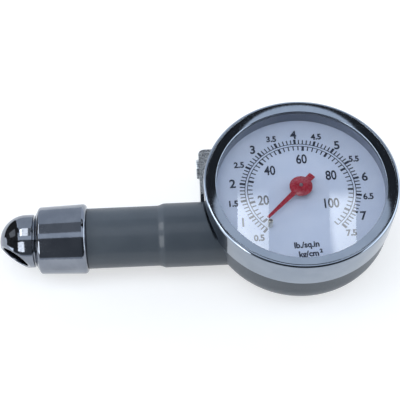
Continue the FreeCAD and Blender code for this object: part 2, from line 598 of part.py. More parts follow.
def build_tip(tip_spot, lug_low, lug_top):
    """The brass cap that closes the tube, with the lug for the link's pin."""
    end_angle = D.tube_start.value + D.tube_sweep.value
    arc = 6.0
    clear = 0.1
    cap = tube_outline(0.0)
    cap = cap.revolve(Vector(), Vector(0, 0, 1), arc)
    cap.rotate(Vector(), Vector(0, 0, 1), end_angle + clear)
    middle = (D.tube_in_r.value + D.tube_out_r.value) / 2
    mid_angle = math.radians(end_angle + arc / 2)
    lug_start = Vector(middle * math.cos(mid_angle), middle * math.sin(mid_angle), 0)
    lug_path = tip_spot - lug_start
    lug_turn = math.degrees(math.atan2(lug_path.y, lug_path.x))
    lug_tall = lug_top - lug_low
    lug_wide = D.lug_width.value
    lug = Part.makeBox(lug_path.Length, lug_wide, lug_tall, Vector(0, -lug_wide / 2, lug_low))
    lug = lug.fuse(Part.makeCylinder(D.lug_eye_r.value, lug_tall, Vector(lug_path.Length, 0, lug_low)))
    lug.rotate(Vector(), Vector(0, 0, 1), lug_turn)
    lug.translate(lug_start)
    hole = Part.makeCylinder(D.link_pin_r.value, lug_tall, tip_spot + Vector(0, 0, lug_low))
    shaped("bourdon_tip", cap.fuse(lug).cut(hole).removeSplitter())


def tube_outline(inset):
    """The tube's flat oval section as a face, taken in by inset."""
    low = D.tube_low_z.value + inset
    top = D.tube_top_z.value - inset
    near = D.tube_in_r.value + inset
    far = D.tube_out_r.value - inset
    bend = (far - near) / 2 * 0.95
    box = Part.makeBox(far - near, 1.0, top - low, Vector(near, 0, low))
    edges = [edge for edge in box.Edges if abs(edge.tangentAt(edge.FirstParameter).y) > 0.99]
    soft = box.makeFillet(bend, edges)
    return next(face for face in soft.Faces if abs(face.CenterOfMass.y) < 1e-6)


def build_tube():
    """The Bourdon tube: a flat oval tube bent to most of a circle."""
    shell = tube_outline(0.0).cut(tube_outline(D.tube_wall.value))
    tube = shell.revolve(Vector(), Vector(0, 0, 1), D.tube_sweep.value)
    tube.rotate(Vector(), Vector(0, 0, 1), D.tube_start.value)
    shaped("bourdon_tube", tube)


def build_hairspring():
    """The flat spiral that takes up the play of the gears, its collet and its stud."""
    body = new_body("hairspring_collet")
    wide = D.arbor_r + D.arbor_step
    turn_upright(body, ring(wide, D.collet_r, D.hair_low_z - 0.2, D.hair_top_z + 0.2))
    start = D.hair_in_r.value
    outer = math.hypot(D.stud_x.value, D.stud_y.value) - D.stud_r.value - D.hair_thick.value
    turns = (outer - start) / D.hair_pitch.value
    end_angle = math.atan2(D.stud_y.value, D.stud_x.value)
    samples = 16
    count = int(turns * samples)
    sides = ([], [])
    for number in range(count + 1):
        share = number / count
        angle = end_angle - (1 - share) * turns * 2 * math.pi
        radius = start + share * (outer - start)
        for side, grow in zip(sides, (0.0, D.hair_thick.value)):
            side.append(Vector((radius + grow) * math.cos(angle), (radius + grow) * math.sin(angle),
                               D.hair_low_z.value))
    curves = []
    for side in sides:
        curve = Part.BSplineCurve()
        curve.interpolate(side)
        curves.append(curve.toShape())
    joins = [Part.makeLine(sides[0][-1], sides[1][-1]), Part.makeLine(sides[1][0], sides[0][0])]
    face = Part.Face(Part.Wire(Part.__sortEdges__(curves + joins)))
    shaped("hairspring", face.extrude(Vector(0, 0, (D.hair_top_z - D.hair_low_z).value)))
    body = new_body("hairspring_stud")
    turn_upright(body, ring(ZERO, D.stud_r, D.hair_low_z - 0.3, D.top_plate_z), x=D.stud_x, y=D.stud_y)


# ---------------------------------------------------------------- pressure path

def build_socket():
    """The brass block that joins the feed tube, the Bourdon tube and the bleed valve."""
    body = new_body("bourdon_socket")
    outline = [(D.block_out_x, D.block_low_y), (D.block_in_x, D.block_low_y),
               (D.block_in_x, D.block_nose_y), (D.block_nose_x, D.block_nose_y),
               (D.block_nose_x, D.block_top_y), (D.block_out_x, D.block_top_y)]
    raise_up(body, [outline], D.block_low_z, D.block_top_z)
    waste = ring(D.block_r, D.block_r + D.block_waste, D.block_low_z - 1, D.block_top_z + 1)
    turn_upright(body, waste, "Groove")
    turn_along_stem(body, stem_ring(D.feed_end_u, D.block_far_u, ZERO, D.feed_hole_r), "Groove")
    turn_along_stem(body, stem_ring(-D.way_b_x - D.way_r, D.feed_end_u, ZERO, D.way_r), "Groove")
    turn_along_stem(body, stem_ring(D.housing_end_u, D.block_far_u, ZERO, D.spigot_r), "Groove",
                    D.bleed_y, D.bleed_z)
    turn_along_stem(body, stem_ring(D.chamber_low_u, D.housing_end_u, ZERO, D.chamber_r), "Groove",
                    D.bleed_y, D.bleed_z)
    cross_way(body, D.way_a_x, D.way_low_y, D.stem_y)
    cross_way(body, D.way_b_x, D.stem_y, D.bleed_y - 1)
    bolts = [(D.socket_bolt_a_x, D.socket_bolt_a_y, D.socket_bolt_r),
             (D.socket_bolt_b_x, D.socket_bolt_b_y, D.socket_bolt_r)]
    raise_up(body, bolts, D.block_low_z - 1, D.block_top_z + 1, "Pocket")
    doc.recompute()
    seat = tube_outline(0.0).revolve(Vector(), Vector(0, 0, 1), D.seat_sweep.value)
    seat.rotate(Vector(), Vector(0, 0, 1), D.tube_start.value)
    block = body.Shape.cut(seat)
    SUBPARTS.remove(body)
    body.Label = "bourdon_socket_blank"
    shaped("bourdon_socket", block)
    screws = [screw(x, y, D.socket_bolt_low_z, D.block_top_z, D.socket_bolt_r, D.bolt_head_r)
              for x, y, radius in bolts]
    shaped("socket_screws", Part.makeCompound(screws))


def cross_way(body, x, low_y, top_y):
    """A drilled way along Y through the block, at the stem's height."""
    sketch = new_sketch(body, "XY_Plane", (x, ZERO, D.stem_z))
    add_outline(sketch, [(ZERO, low_y), (D.way_r, low_y), (D.way_r, top_y), (ZERO, top_y)])
    spin(body, "Groove", sketch, "V_Axis")


def coil(radius, wire_radius, length, turns, low_u, y, z):
    """A compression spring along the stem's direction, as a swept helix."""
    pitch = length / turns
    helix = Part.makeHelix(pitch, length, radius)
    along_wire = Vector(0, 1, pitch / (2 * math.pi * radius))
    ring_wire = Part.Wire(Part.makeCircle(wire_radius, Vector(radius, 0, 0), along_wire))
    solid = Part.Wire(helix).makePipeShell([ring_wire], True, True)
    spot = Placement(Vector(-low_u, y, z), Rotation(Vector(0, 1, 0), -90))
    return solid, spot


def build_feed():
    """The tube that brings the air from the check valve to the block, and its gasket."""
    body = new_body("feed_tube")
    inner = D.feed_hole_r - D.feed_wall
    turn_along_stem(body, [(D.feed_end_u, inner), (D.flange_top_u, inner), (D.flange_top_u, D.flange_r),
                           (D.flange_low_u, D.flange_r), (D.flange_low_u, D.feed_hole_r),
                           (D.feed_end_u, D.feed_hole_r)])
    body = new_body("feed_gasket")
    turn_along_stem(body, stem_ring(D.valve_bore_u, D.flange_low_u, D.feed_hole_r, D.flange_r))


def build_check_valve():
    """The valve that holds the reading: seat, rubber disc, guided poppet and spring."""
    body = new_body("check_seat")
    turn_along_stem(body, stem_ring(D.seat_low_u, D.seat_top_u, D.seat_hole_r, D.valve_bore_r))
    disc_top = D.seat_low_u - D.seal_gap
    body = new_body("check_disc")
    turn_along_stem(body, stem_ring(D.disc_low_u, disc_top, ZERO, D.check_disc_r))
    body = new_body("check_poppet")
    turn_along_stem(body, [(D.guide_low_u, ZERO), (D.disc_low_u, ZERO), (D.disc_low_u, D.poppet_r),
                           (D.poppet_low_u, D.poppet_r), (D.poppet_low_u, D.guide_r),
                           (D.guide_low_u, D.guide_r)])
    wire = D.check_wire_r.value
    low = D.flange_top_u.value + wire
    length = D.poppet_low_u.value - wire - low
    spring, spot = coil(D.check_coil_r.value, wire, length, D.check_turns.value, low,
                        D.stem_y.value, D.stem_z.value)
    shaped("check_spring", spring, spot)


def build_bleed_valve():
    """The press button on the head's side that lets the air go."""
    body = new_body("bleed_housing")
    outline = [(-D.housing_face_u, D.housing_low_y), (D.housing_in_x, D.housing_low_y),
               (D.housing_in_x, D.housing_top_y), (-D.housing_face_u, D.housing_top_y)]
    raise_up(body, [outline], D.housing_low_z, D.shoulder_z)
    round_uprights(body, D.housing_round, [(-D.housing_face_u, D.housing_top_y)])
    turn_upright(body, ring(ZERO, D.case_r, D.housing_low_z - 1, D.shoulder_z + 1), "Groove")
    stem_cut = stem_ring(D.stem_cut_u, D.stem_far_u, ZERO, D.root_r)
    turn_along_stem(body, stem_cut, "Groove")
    spigot = stem_ring(D.housing_end_u, D.spigot_far_u, ZERO, D.spigot_r)
    turn_along_stem(body, spigot, y=D.bleed_y, z=D.bleed_z)
    bore = [(D.housing_end_u - 1, ZERO), (D.housing_face_u + 1, ZERO),
            (D.housing_face_u + 1, D.cap_bore_r), (D.cap_bore_u, D.cap_bore_r),
            (D.cap_bore_u, D.coil_bore_r), (D.coil_bore_u, D.coil_bore_r),
            (D.coil_bore_u, D.rod_bore_r), (D.housing_end_u - 1, D.rod_bore_r)]
    turn_along_stem(body, bore, "Groove", D.bleed_y, D.bleed_z)

    along = Rotation(Vector(0, 1, 0), -90)
    body = new_body("bleed_button")
    tall = D.cap_top_u - D.cap_low_u
    turn_upright(body, ring(ZERO, D.cap_r, ZERO, tall))
    round_rims(body, D.knurl_depth, [(D.cap_r, tall)], kind="Chamfer")
    notch = [(D.cap_r - D.knurl_depth, ZERO), (D.cap_r + 0.1, -D.knurl_depth * 1.2),
             (D.cap_r + 0.1, D.knurl_depth * 1.2)]
    first = raise_up(body, [notch], ZERO - 0.1, tall + 0.1, "Pocket")
    repeat_round(body, first, int(D.knurls.value))
    turn_upright(body, ring(ZERO, D.rod_r, ZERO - 1, tall * 0.6), "Groove")
    place(body, -D.cap_low_u, D.bleed_y, D.bleed_z, along)

    body = new_body("bleed_stem")
    turn_along_stem(body, [(D.bleed_flange_low_u, ZERO), (D.cap_low_u + tall * 0.6, ZERO),
                           (D.cap_low_u + tall * 0.6, D.rod_r), (D.bleed_disc_low_u, D.rod_r),
                           (D.bleed_disc_low_u, D.bleed_disc_r * 0.85),
                           (D.bleed_flange_low_u, D.bleed_disc_r * 0.85)], y=D.bleed_y, z=D.bleed_z)
    body = new_body("bleed_disc")
    disc_top = D.housing_end_u - D.seal_gap
    turn_along_stem(body, stem_ring(D.bleed_disc_low_u, disc_top, D.rod_r, D.bleed_disc_r),
                    y=D.bleed_y, z=D.bleed_z)
    wire = D.bleed_wire_r.value
    low = D.coil_bore_u.value + wire
    length = D.cap_low_u.value - wire - low
    spring, spot = coil(D.bleed_coil_r.value, wire, length, D.bleed_turns.value, low,
                        D.bleed_y.value, D.bleed_z.value)
    shaped("bleed_spring", spring, spot)


# ---------------------------------------------------------------- ball foot

def build_chuck():
    """The ball foot: it turns in the ring nut, and its slanted mouth goes onto the tyre valve."""
    mouth_way = Vector(D.mouth_x.value, D.mouth_y.value, D.mouth_z.value).normalize()
    to_mouth = Rotation(Vector(1, 0, 0), mouth_way)
    centre = (-D.ball_u, D.stem_y, D.stem_z)

    def turn_in_mouth(body, points, kind="Revolution"):
        """Turns an outline of (distance from the ball's centre, radius) about the mouth's axis."""
        sketch = new_sketch(body, "XY_Plane", centre, to_mouth)
        add_outline(sketch, points)
        return spin(body, kind, sketch, "H_Axis")

    body = new_body("chuck_body")
    groove_top = D.ring_u + D.ring_groove
    turn_along_stem(body, [(D.spigot_end_u, ZERO), (D.ball_u + D.ball_r, ZERO, (D.ball_u, ZERO)),
                           (D.ball_u, D.ball_r), (D.foot_u, D.ball_r), (D.foot_u, D.neck_r),
                           (D.foot_flange_top_u, D.neck_r), (D.foot_flange_top_u, D.foot_flange_r),
                           (D.foot_flange_low_u, D.foot_flange_r), (D.foot_flange_low_u, D.foot_spigot_r),
                           (groove_top, D.foot_spigot_r), (groove_top, D.ring_groove_r),
                           (D.ring_u, D.ring_groove_r), (D.ring_u, D.foot_spigot_r),
                           (D.spigot_end_u, D.foot_spigot_r)])
    face_cut = [(D.mouth_plane, ZERO), (D.ball_r + 2, ZERO), (D.ball_r + 2, D.ball_r + 2),
                (D.mouth_plane, D.ball_r + 2)]
    turn_in_mouth(body, face_cut, "Groove")
    bore = [(D.pin_root, ZERO), (D.mouth_plane + 1, ZERO), (D.mouth_plane + 1, D.mouth_r),
            (D.seal_front, D.mouth_r), (D.seal_front, D.seal_r), (D.seal_back, D.seal_r),
            (D.seal_back, D.foot_way_r), (D.way_root, D.foot_way_r), (D.way_root, D.pin_r),
            (D.pin_root, D.pin_r)]
    turn_in_mouth(body, bore, "Groove")
    way = [(D.spigot_end_u - 1, ZERO), (D.ball_u, ZERO), (D.ball_u, D.foot_way_r),
           (D.spigot_end_u - 1, D.foot_way_r)]
    turn_along_stem(body, way, "Groove")

    body = new_body("chuck_seal")
    turn_in_mouth(body, stem_ring(D.seal_back, D.seal_front, D.seal_hole_r, D.seal_r))
    body = new_body("depressor_pin")
    turn_in_mouth(body, [(D.pin_root, ZERO), (D.pin_tip, ZERO), (D.pin_tip, D.pin_r * 0.7),
                         (D.pin_tip - 0.3, D.pin_r), (D.pin_root, D.pin_r)])
    ring_middle = (D.ring_u + D.ring_groove * 0.5).value
    hoop = Part.makeTorus(D.ring_groove_r.value + D.ring_wire_r.value + 0.02, D.ring_wire_r.value)
    spot = Placement(Vector(-ring_middle, D.stem_y.value, D.stem_z.value), Rotation(Vector(0, 1, 0), -90))
    shaped("swivel_seal", hoop, spot)


# ---------------------------------------------------------------- checks and files

def check_document():
    doc.recompute()
    for item in doc.Objects:
        if "Invalid" in item.State or "Error" in item.State:
            raise RuntimeError(f"{item.Label} failed: {item.State} {item.getStatusString()}")
    for item in SUBPARTS:
        if item.Shape.isNull() or not item.Shape.isValid():
            raise RuntimeError(f"{item.Label} has no valid shape")
        solids = len(item.Shape.Solids)
        print(f"{item.Label}: {solids} solid(s), {item.Shape.Volume:.2f} mm3")


def write_files():
    os.makedirs("parts", exist_ok=True)
    for item in SUBPARTS:
        item.Shape.exportStep(f"parts/{item.Label}.step")


build_case()
build_front()
build_collar()
build_pointer()
build_plates()
build_pinion()
build_sector()
build_tip(*build_link())
build_tube()
build_hairspring()
build_socket()
build_feed()
build_check_valve()
build_bleed_valve()
build_chuck()
check_document()
write_files()
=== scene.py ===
import logging
import math
from dataclasses import dataclass, field
from enum import Enum

import bmesh
import bpy
from mathutils import Matrix, Vector


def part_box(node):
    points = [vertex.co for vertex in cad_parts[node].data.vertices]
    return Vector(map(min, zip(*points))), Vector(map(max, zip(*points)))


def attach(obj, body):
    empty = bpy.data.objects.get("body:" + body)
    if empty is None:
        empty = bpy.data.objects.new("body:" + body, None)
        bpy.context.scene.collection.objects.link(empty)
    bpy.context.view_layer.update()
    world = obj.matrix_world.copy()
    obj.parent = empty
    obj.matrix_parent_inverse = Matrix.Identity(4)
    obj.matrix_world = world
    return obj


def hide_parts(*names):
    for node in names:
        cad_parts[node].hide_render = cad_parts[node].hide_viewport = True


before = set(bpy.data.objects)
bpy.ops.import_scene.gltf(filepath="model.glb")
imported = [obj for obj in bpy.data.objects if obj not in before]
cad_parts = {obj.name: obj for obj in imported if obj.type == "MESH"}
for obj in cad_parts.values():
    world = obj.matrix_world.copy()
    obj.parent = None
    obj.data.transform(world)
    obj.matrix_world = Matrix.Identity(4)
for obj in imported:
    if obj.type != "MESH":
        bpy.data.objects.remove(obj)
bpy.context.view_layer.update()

# Dial tyre pressure gauge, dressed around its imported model. Everything is in metres.
# +Z points out of the dial, the stem and the ball foot lie along -X, and the floor is at z = 0.

MM = 0.001
LOG = logging.getLogger("tyre_gauge")

# Vertices closer than this are merged into one.
WELD = 1e-7

# The radius that a turned solid leaves open about its axis.
CORE = 0.01 * MM

# The places of a Mix node's colour sockets, which share their names with its other sockets.
MIX_FIRST = 6
MIX_SECOND = 7
MIX_RESULT = 2

Colour = tuple[float, float, float]
Point = tuple[float, float]


# ---------------------------------------------------------------- finishes

class Slot(Enum):
    """The record's material slots."""

    GREY_PAINT = "grey_paint"
    CHROME = "chrome"
    GLASS = "glass"
    DIAL_WHITE = "dial_white"
    RING_GREY = "ring_grey"
    POINTER_RED = "pointer_red"
    BRASS = "brass"
    BRONZE = "bronze"
    STEEL = "steel"
    SPRING_STEEL = "spring_steel"
    BRIGHT_NICKEL = "bright_nickel"
    BLACK_RUBBER = "black_rubber"


@dataclass(frozen=True)
class Band:
    """A stretch of a light tent, by its tilt from straight up towards the camera's side."""

    start: float
    end: float
    bright: float


class Nodes:
    """A node tree, with short ways to add to it."""

    daylight: Colour = (0.80, 0.88, 1.0)

    def __init__(self, tree: bpy.types.NodeTree) -> None:
        """Takes the tree that the nodes go to."""
        self.tree = tree

    def add(self, kind: str, **settings: object) -> bpy.types.Node:
        """Adds one node.

        Args:
            kind: The node's type name.
            **settings: Properties of the node.

        Returns:
            The new node.
        """
        node = self.tree.nodes.new(kind)
        for name, value in settings.items():
            setattr(node, name, value)
        return node

    def join(self, source: bpy.types.NodeSocket, target: bpy.types.NodeSocket) -> None:
        """Links one socket to another."""
        self.tree.links.new(source, target)

    def times(self, source: bpy.types.NodeSocket,
              factor: bpy.types.NodeSocket | float) -> bpy.types.NodeSocket:
        """Multiplies a value.

        Args:
            source: The value.
            factor: Another value, or a plain number.

        Returns:
            The product.
        """
        node = self.add("ShaderNodeMath", operation="MULTIPLY")
        self.join(source, node.inputs[0])
        if isinstance(factor, float):
            node.inputs[1].default_value = factor
        else:
            self.join(factor, node.inputs[1])
        return node.outputs["Value"]

    def spread(self, source: bpy.types.NodeSocket, low: float, high: float,
               start: float = 0.35, end: float = 0.65) -> bpy.types.NodeSocket:
        """Maps a value smoothly to another range.

        Args:
            source: What is mapped.
            low: The result at start.
            high: The result at end.
            start: Where the range starts in the source.
            end: Where it ends.

        Returns:
            The mapped value.
        """
        node = self.add("ShaderNodeMapRange", interpolation_type="SMOOTHSTEP")
        for name, value in (("From Min", start), ("From Max", end), ("To Min", low), ("To Max", high)):
            node.inputs[name].default_value = value
        self.join(source, node.inputs["Value"])
        return node.outputs["Result"]

    def banded(self, place: bpy.types.NodeSocket,
               bands: tuple[Band, ...]) -> tuple[bpy.types.NodeSocket, bpy.types.NodeSocket]:
        """Colours a light tent by its bands, in the cool tint of daylight.

        Args:
            place: The direction from the tent's axis.
            bands: The bands in order.

        Returns:
            The colour, and the direction's X.
        """
        split = self.add("ShaderNodeSeparateXYZ")
        self.join(place, split.inputs["Vector"])
        tilt = self.add("ShaderNodeMath", operation="ARCTAN2")
        self.join(self.times(split.outputs["Y"], -1.0), tilt.inputs[0])
        self.join(split.outputs["Z"], tilt.inputs[1])
        share = self.add("ShaderNodeMapRange")
        share.inputs["From Min"].default_value = -math.pi
        share.inputs["From Max"].default_value = math.pi
        self.join(tilt.outputs["Value"], share.inputs["Value"])
        ramp = self.add("ShaderNodeValToRGB")
        self.join(share.outputs["Result"], ramp.inputs["Fac"])
        elements = ramp.color_ramp.elements
        stops = [((angle + 180.0) / 360.0, band.bright) for band in bands for angle in (band.start, band.end)]
        while len(elements) < len(stops):
            elements.new(1.0)
        for element, (spot, bright) in zip(elements, stops):
            element.position = spot
            element.color = (*(bright * part for part in self.daylight), 1.0)
        return ramp.outputs["Color"], split.outputs["X"]


class Graph(Nodes):
    """The node tree of one material."""

    def __init__(self, name: str) -> None:
        """Starts a material with its Principled shader.

        Args:
            name: The material's name.
        """
        self.material = bpy.data.materials.new(name)
        self.material.use_nodes = True
        super().__init__(self.material.node_tree)
        self.shader = self.tree.nodes["Principled BSDF"]
        self.coordinates = self.add("ShaderNodeTexCoord").outputs["Object"]

    def fix(self, **values: object) -> None:
        """Sets plain values on the shader, with the socket names' spaces as underscores."""
        for name, value in values.items():
            self.shader.inputs[name.replace("_", " ")].default_value = value

    def glow(self, colour: Colour) -> None:
        """Turns the surface into a plain light of that colour."""
        self.fix(Base_Color=(0.0, 0.0, 0.0, 1.0), Specular_IOR_Level=0.0, Emission_Color=(*colour, 1.0),
                 Emission_Strength=1.0)

    def drive(self, source: bpy.types.NodeSocket, socket: str) -> None:
        """Links a socket to the shader's socket of that name."""
        self.join(source, self.shader.inputs[socket])

    def noise(self, grain: float, detail: float = 3.0, stretch: Colour = (1.0, 1.0, 1.0),
              shift: float = 0.0) -> bpy.types.NodeSocket:
        """A noise over the piece.

        Args:
            grain: The size of one lump, in metres.
            detail: How many finer layers it has.
            stretch: How many times longer its lumps are along each axis.
            shift: Moves the pattern, so that two noises differ.

        Returns:
            The noise, around 0.5.
        """
        mapping = self.add("ShaderNodeMapping")
        mapping.inputs["Location"].default_value = (shift, shift, shift)
        mapping.inputs["Scale"].default_value = tuple(1.0 / (grain * part) for part in stretch)
        texture = self.add("ShaderNodeTexNoise")
        texture.inputs["Scale"].default_value = 1.0
        texture.inputs["Detail"].default_value = detail
        self.join(self.coordinates, mapping.inputs["Vector"])
        self.join(mapping.outputs["Vector"], texture.inputs["Vector"])
        return texture.outputs["Fac"]

    def tint(self, share: bpy.types.NodeSocket, first: Colour, second: Colour) -> bpy.types.NodeSocket:
        """Mixes two colours.

        Args:
            share: How much of the second one there is, from 0 to 1.
            first: The colour at 0.
            second: The colour at 1.

        Returns:
            The mixed colour.
        """
        node = self.add("ShaderNodeMix", data_type="RGBA")
        node.inputs[MIX_FIRST].default_value = (*first, 1.0)
        node.inputs[MIX_SECOND].default_value = (*second, 1.0)
        self.join(share, node.inputs["Factor"])
        return node.outputs[MIX_RESULT]

    def bump(self, *layers: tuple[bpy.types.NodeSocket, float]) -> None:
        """Bumps the surface by several height maps.

        Args:
            *layers: Each a height from 0 to 1 and its depth in metres.
        """
        normal = None
        for height, depth in layers:
            node = self.add("ShaderNodeBump")
            node.inputs["Strength"].default_value = 1.0
            node.inputs["Distance"].default_value = depth
            self.join(height, node.inputs["Height"])
            if normal is not None:
                self.join(normal, node.inputs["Normal"])
            normal = node.outputs["Normal"]
        self.drive(normal, "Normal")


@dataclass(frozen=True)
class StovePaint:
    """Semi-gloss stove paint on a zinc casting, with the casting's slight orange peel under it."""

    name: str = "stove_paint"
    base: Colour = (0.060, 0.075, 0.093)
    worn: Colour = (0.069, 0.085, 0.104)
    cloud: float = 9 * MM
    peel: float = 1.4 * MM
    peel_depth: float = 7e-6
    grain: float = 0.22 * MM
    grain_depth: float = 2e-6
    smooth: float = 0.46
    rough: float = 0.56

    def build(self) -> bpy.types.Material:
        """Makes the material."""
        graph = Graph(self.name)
        cloud = graph.noise(self.cloud, 4.0)
        peel = graph.noise(self.peel, 2.0)
        grain = graph.noise(self.grain, 2.0, shift=3.0)
        graph.drive(graph.tint(graph.spread(cloud, 0.0, 1.0), self.base, self.worn), "Base Color")
        graph.drive(graph.spread(grain, self.smooth, self.rough), "Roughness")
        graph.fix(Specular_IOR_Level=0.35, Coat_Weight=0.25, Coat_Roughness=0.08)
        graph.bump((peel, self.peel_depth), (grain, self.grain_depth))
        return graph.material


@dataclass(frozen=True)
class Plate:
    """A plated metal: bright chrome or satin nickel."""

    name: str
    base: Colour
    shade: Colour
    smooth: float
    rough: float
    ripple: float
    ripple_depth: float
    grain: float
    grain_depth: float
    haze: float = 6 * MM

    def build(self) -> bpy.types.Material:
        """Makes the material."""
        graph = Graph(self.name)
        haze = graph.noise(self.haze, 5.0)
        ripple = graph.noise(self.ripple, 2.0, shift=1.0)
        grain = graph.noise(self.grain, 3.0, shift=2.0)
        graph.drive(graph.tint(graph.spread(haze, 0.0, 1.0), self.base, self.shade), "Base Color")
        graph.drive(graph.spread(grain, self.smooth, self.rough), "Roughness")
        graph.fix(Metallic=1.0)
        graph.bump((ripple, self.ripple_depth), (grain, self.grain_depth))
        return graph.material


@dataclass(frozen=True)
class TurnedMetal:
    """A bare metal turned or drawn on a lathe, with fine rings along its height and a little tarnish."""

    name: str
    base: Colour
    tarnish: Colour
    smooth: float = 0.24
    rough_more: float = 0.12
    ring: float = 0.12 * MM
    ring_stretch: Colour = (40.0, 40.0, 1.0)
    ring_depth: float = 1.5e-6
    patch: float = 2.2 * MM
    patch_depth: float = 4e-6

    def build(self) -> bpy.types.Material:
        """Makes the material."""
        graph = Graph(self.name)
        rings = graph.noise(self.ring, 2.0, stretch=self.ring_stretch)
        patches = graph.noise(self.patch, 4.0, shift=5.0)
        graph.drive(graph.tint(graph.spread(patches, 0.0, 1.0), self.base, self.tarnish), "Base Color")
        graph.drive(graph.spread(rings, self.smooth, self.smooth + self.rough_more), "Roughness")
        graph.fix(Metallic=1.0)
        graph.bump((rings, self.ring_depth), (patches, self.patch_depth))
        return graph.material


@dataclass(frozen=True)
class Moulding:
    """A moulded plastic or rubber: even colour with faint flow marks and a fine matt grain."""

    name: str
    base: Colour
    flow: Colour
    smooth: float
    rough: float
    grain: float = 0.3 * MM
    depth: float = 4e-6
    swirl: float = 4 * MM

    def build(self) -> bpy.types.Material:
        """Makes the material."""
        graph = Graph(self.name)
        flow = graph.noise(self.swirl, 3.0)
        grain = graph.noise(self.grain, 2.0, shift=4.0)
        graph.drive(graph.tint(graph.spread(flow, 0.0, 1.0), self.base, self.flow), "Base Color")
        graph.drive(graph.spread(grain, self.smooth, self.rough), "Roughness")
        graph.bump((grain, self.depth))
        return graph.material


@dataclass(frozen=True)
class Lacquer:
    """A gloss paint over a thin pressed part, with a clear coat of its own."""

    name: str = "red_lacquer"
    base: Colour = (0.36, 0.018, 0.035)
    deep: Colour = (0.29, 0.012, 0.026)
    cloud: float = 1.6 * MM
    peel: float = 0.5 * MM
    peel_depth: float = 5e-6
    smooth: float = 0.22
    rough: float = 0.34

    def build(self) -> bpy.types.Material:
        """Makes the material."""
        graph = Graph(self.name)
        cloud = graph.noise(self.cloud, 3.0)
        peel = graph.noise(self.peel, 2.0, shift=2.0)
        graph.drive(graph.tint(graph.spread(cloud, 0.0, 1.0), self.base, self.deep), "Base Color")
        graph.drive(graph.spread(peel, self.smooth, self.rough), "Roughness")
        graph.fix(Coat_Weight=0.5, Coat_Roughness=0.12)
        graph.bump((peel, self.peel_depth))
        return graph.material


@dataclass(frozen=True)
class ClearGlass:
    """The flat crystal over the dial, with a faint change of tint across it."""

    name: str = "clear_glass"
    tint: Colour = (0.96, 0.98, 1.0)
    faint: Colour = (0.93, 0.96, 1.0)
    patch: float = 7 * MM
    stretch: Colour = (1.0, 2.5, 1.0)

    def build(self) -> bpy.types.Material:
        """Makes the material."""
        graph = Graph(self.name)
        patches = graph.noise(self.patch, 4.0, stretch=self.stretch)
        graph.drive(graph.tint(graph.spread(patches, 0.0, 1.0), self.tint, self.faint), "Base Color")
        graph.fix(Roughness=0.0, Transmission_Weight=1.0, IOR=1.75)
        return graph.material


def finish_book() -> dict[Slot, bpy.types.Material]:
    """Makes the finish of every slot of the record.

    Returns:
        The material for each slot.
    """
    recipes = {
        Slot.GREY_PAINT: StovePaint(),
        Slot.CHROME: Plate("bright_chrome", (0.30, 0.34, 0.40), (0.275, 0.315, 0.375), smooth=0.045,
                           rough=0.10, ripple=3.5 * MM, ripple_depth=6e-6, grain=0.45 * MM,
                           grain_depth=1.6e-6),
        Slot.GLASS: ClearGlass(),
        Slot.DIAL_WHITE: Moulding("dial_enamel", (0.60, 0.66, 0.80), (0.57, 0.635, 0.78), smooth=0.5,
                                  rough=0.62, grain=0.2 * MM, depth=1e-6),
        Slot.RING_GREY: Moulding("ring_plastic", (0.18, 0.205, 0.26), (0.16, 0.185, 0.24), smooth=0.28,
                                 rough=0.4),
        Slot.POINTER_RED: Lacquer(),
        Slot.BRASS: TurnedMetal("turned_brass", (0.74, 0.52, 0.23), (0.55, 0.36, 0.15)),
        Slot.BRONZE: TurnedMetal("drawn_bronze", (0.56, 0.32, 0.16), (0.40, 0.21, 0.10), smooth=0.3),
        Slot.STEEL: TurnedMetal("turned_steel", (0.46, 0.47, 0.49), (0.34, 0.35, 0.37)),
        Slot.SPRING_STEEL: TurnedMetal("spring_wire", (0.27, 0.29, 0.34), (0.16, 0.18, 0.26), smooth=0.3),
        Slot.BRIGHT_NICKEL: Plate("satin_nickel", (0.58, 0.60, 0.62), (0.52, 0.54, 0.56), smooth=0.22,
                                  rough=0.32, ripple=2.0 * MM, ripple_depth=3e-6, grain=0.4 * MM,
                                  grain_depth=0.5e-6),
        Slot.BLACK_RUBBER: Moulding("black_rubber", (0.012, 0.012, 0.013), (0.020, 0.020, 0.021), smooth=0.6,
                                    rough=0.8, grain=0.25 * MM, depth=8e-6),
    }
    return {slot: recipe.build() for slot, recipe in recipes.items()}


# ---------------------------------------------------------------- shaping

def arc(centre: Point, radius: float, start: float, end: float, steps: int = 10) -> list[Point]:
    """Points on an arc.

    Args:
        centre: The arc's centre.
        radius: Its radius.
        start: The angle of the first point, in degrees.
        end: The angle of the last point, in degrees.
        steps: How many parts it has.

    Returns:
        The points, both ends included.
    """
    turns = (math.radians(start + (end - start) * i / steps) for i in range(steps + 1))
    return [(centre[0] + radius * math.cos(turn), centre[1] + radius * math.sin(turn)) for turn in turns]


def finish_mesh(name: str, shape: bmesh.types.BMesh, material: bpy.types.Material,
                sharp: float = 35.0) -> bpy.types.Object:
    """Turns a bmesh into a smooth-shaded piece.

    Args:
        name: The piece's name.
        shape: The bmesh, which is freed.
        material: Its finish.
        sharp: Edges that turn more than this many degrees stay crisp.

    Returns:
        The piece.
    """
    bmesh.ops.remove_doubles(shape, verts=shape.verts, dist=WELD)
    bmesh.ops.recalc_face_normals(shape, faces=shape.faces)
    mesh = bpy.data.meshes.new(name)
    shape.to_mesh(mesh)
    shape.free()
    mesh.materials.append(material)
    mesh.polygons.foreach_set("use_smooth", [True] * len(mesh.polygons))
    mesh.set_sharp_from_angle(angle=math.radians(sharp))
    piece = bpy.data.objects.new(name, mesh)
    bpy.context.scene.collection.objects.link(piece)
    return piece


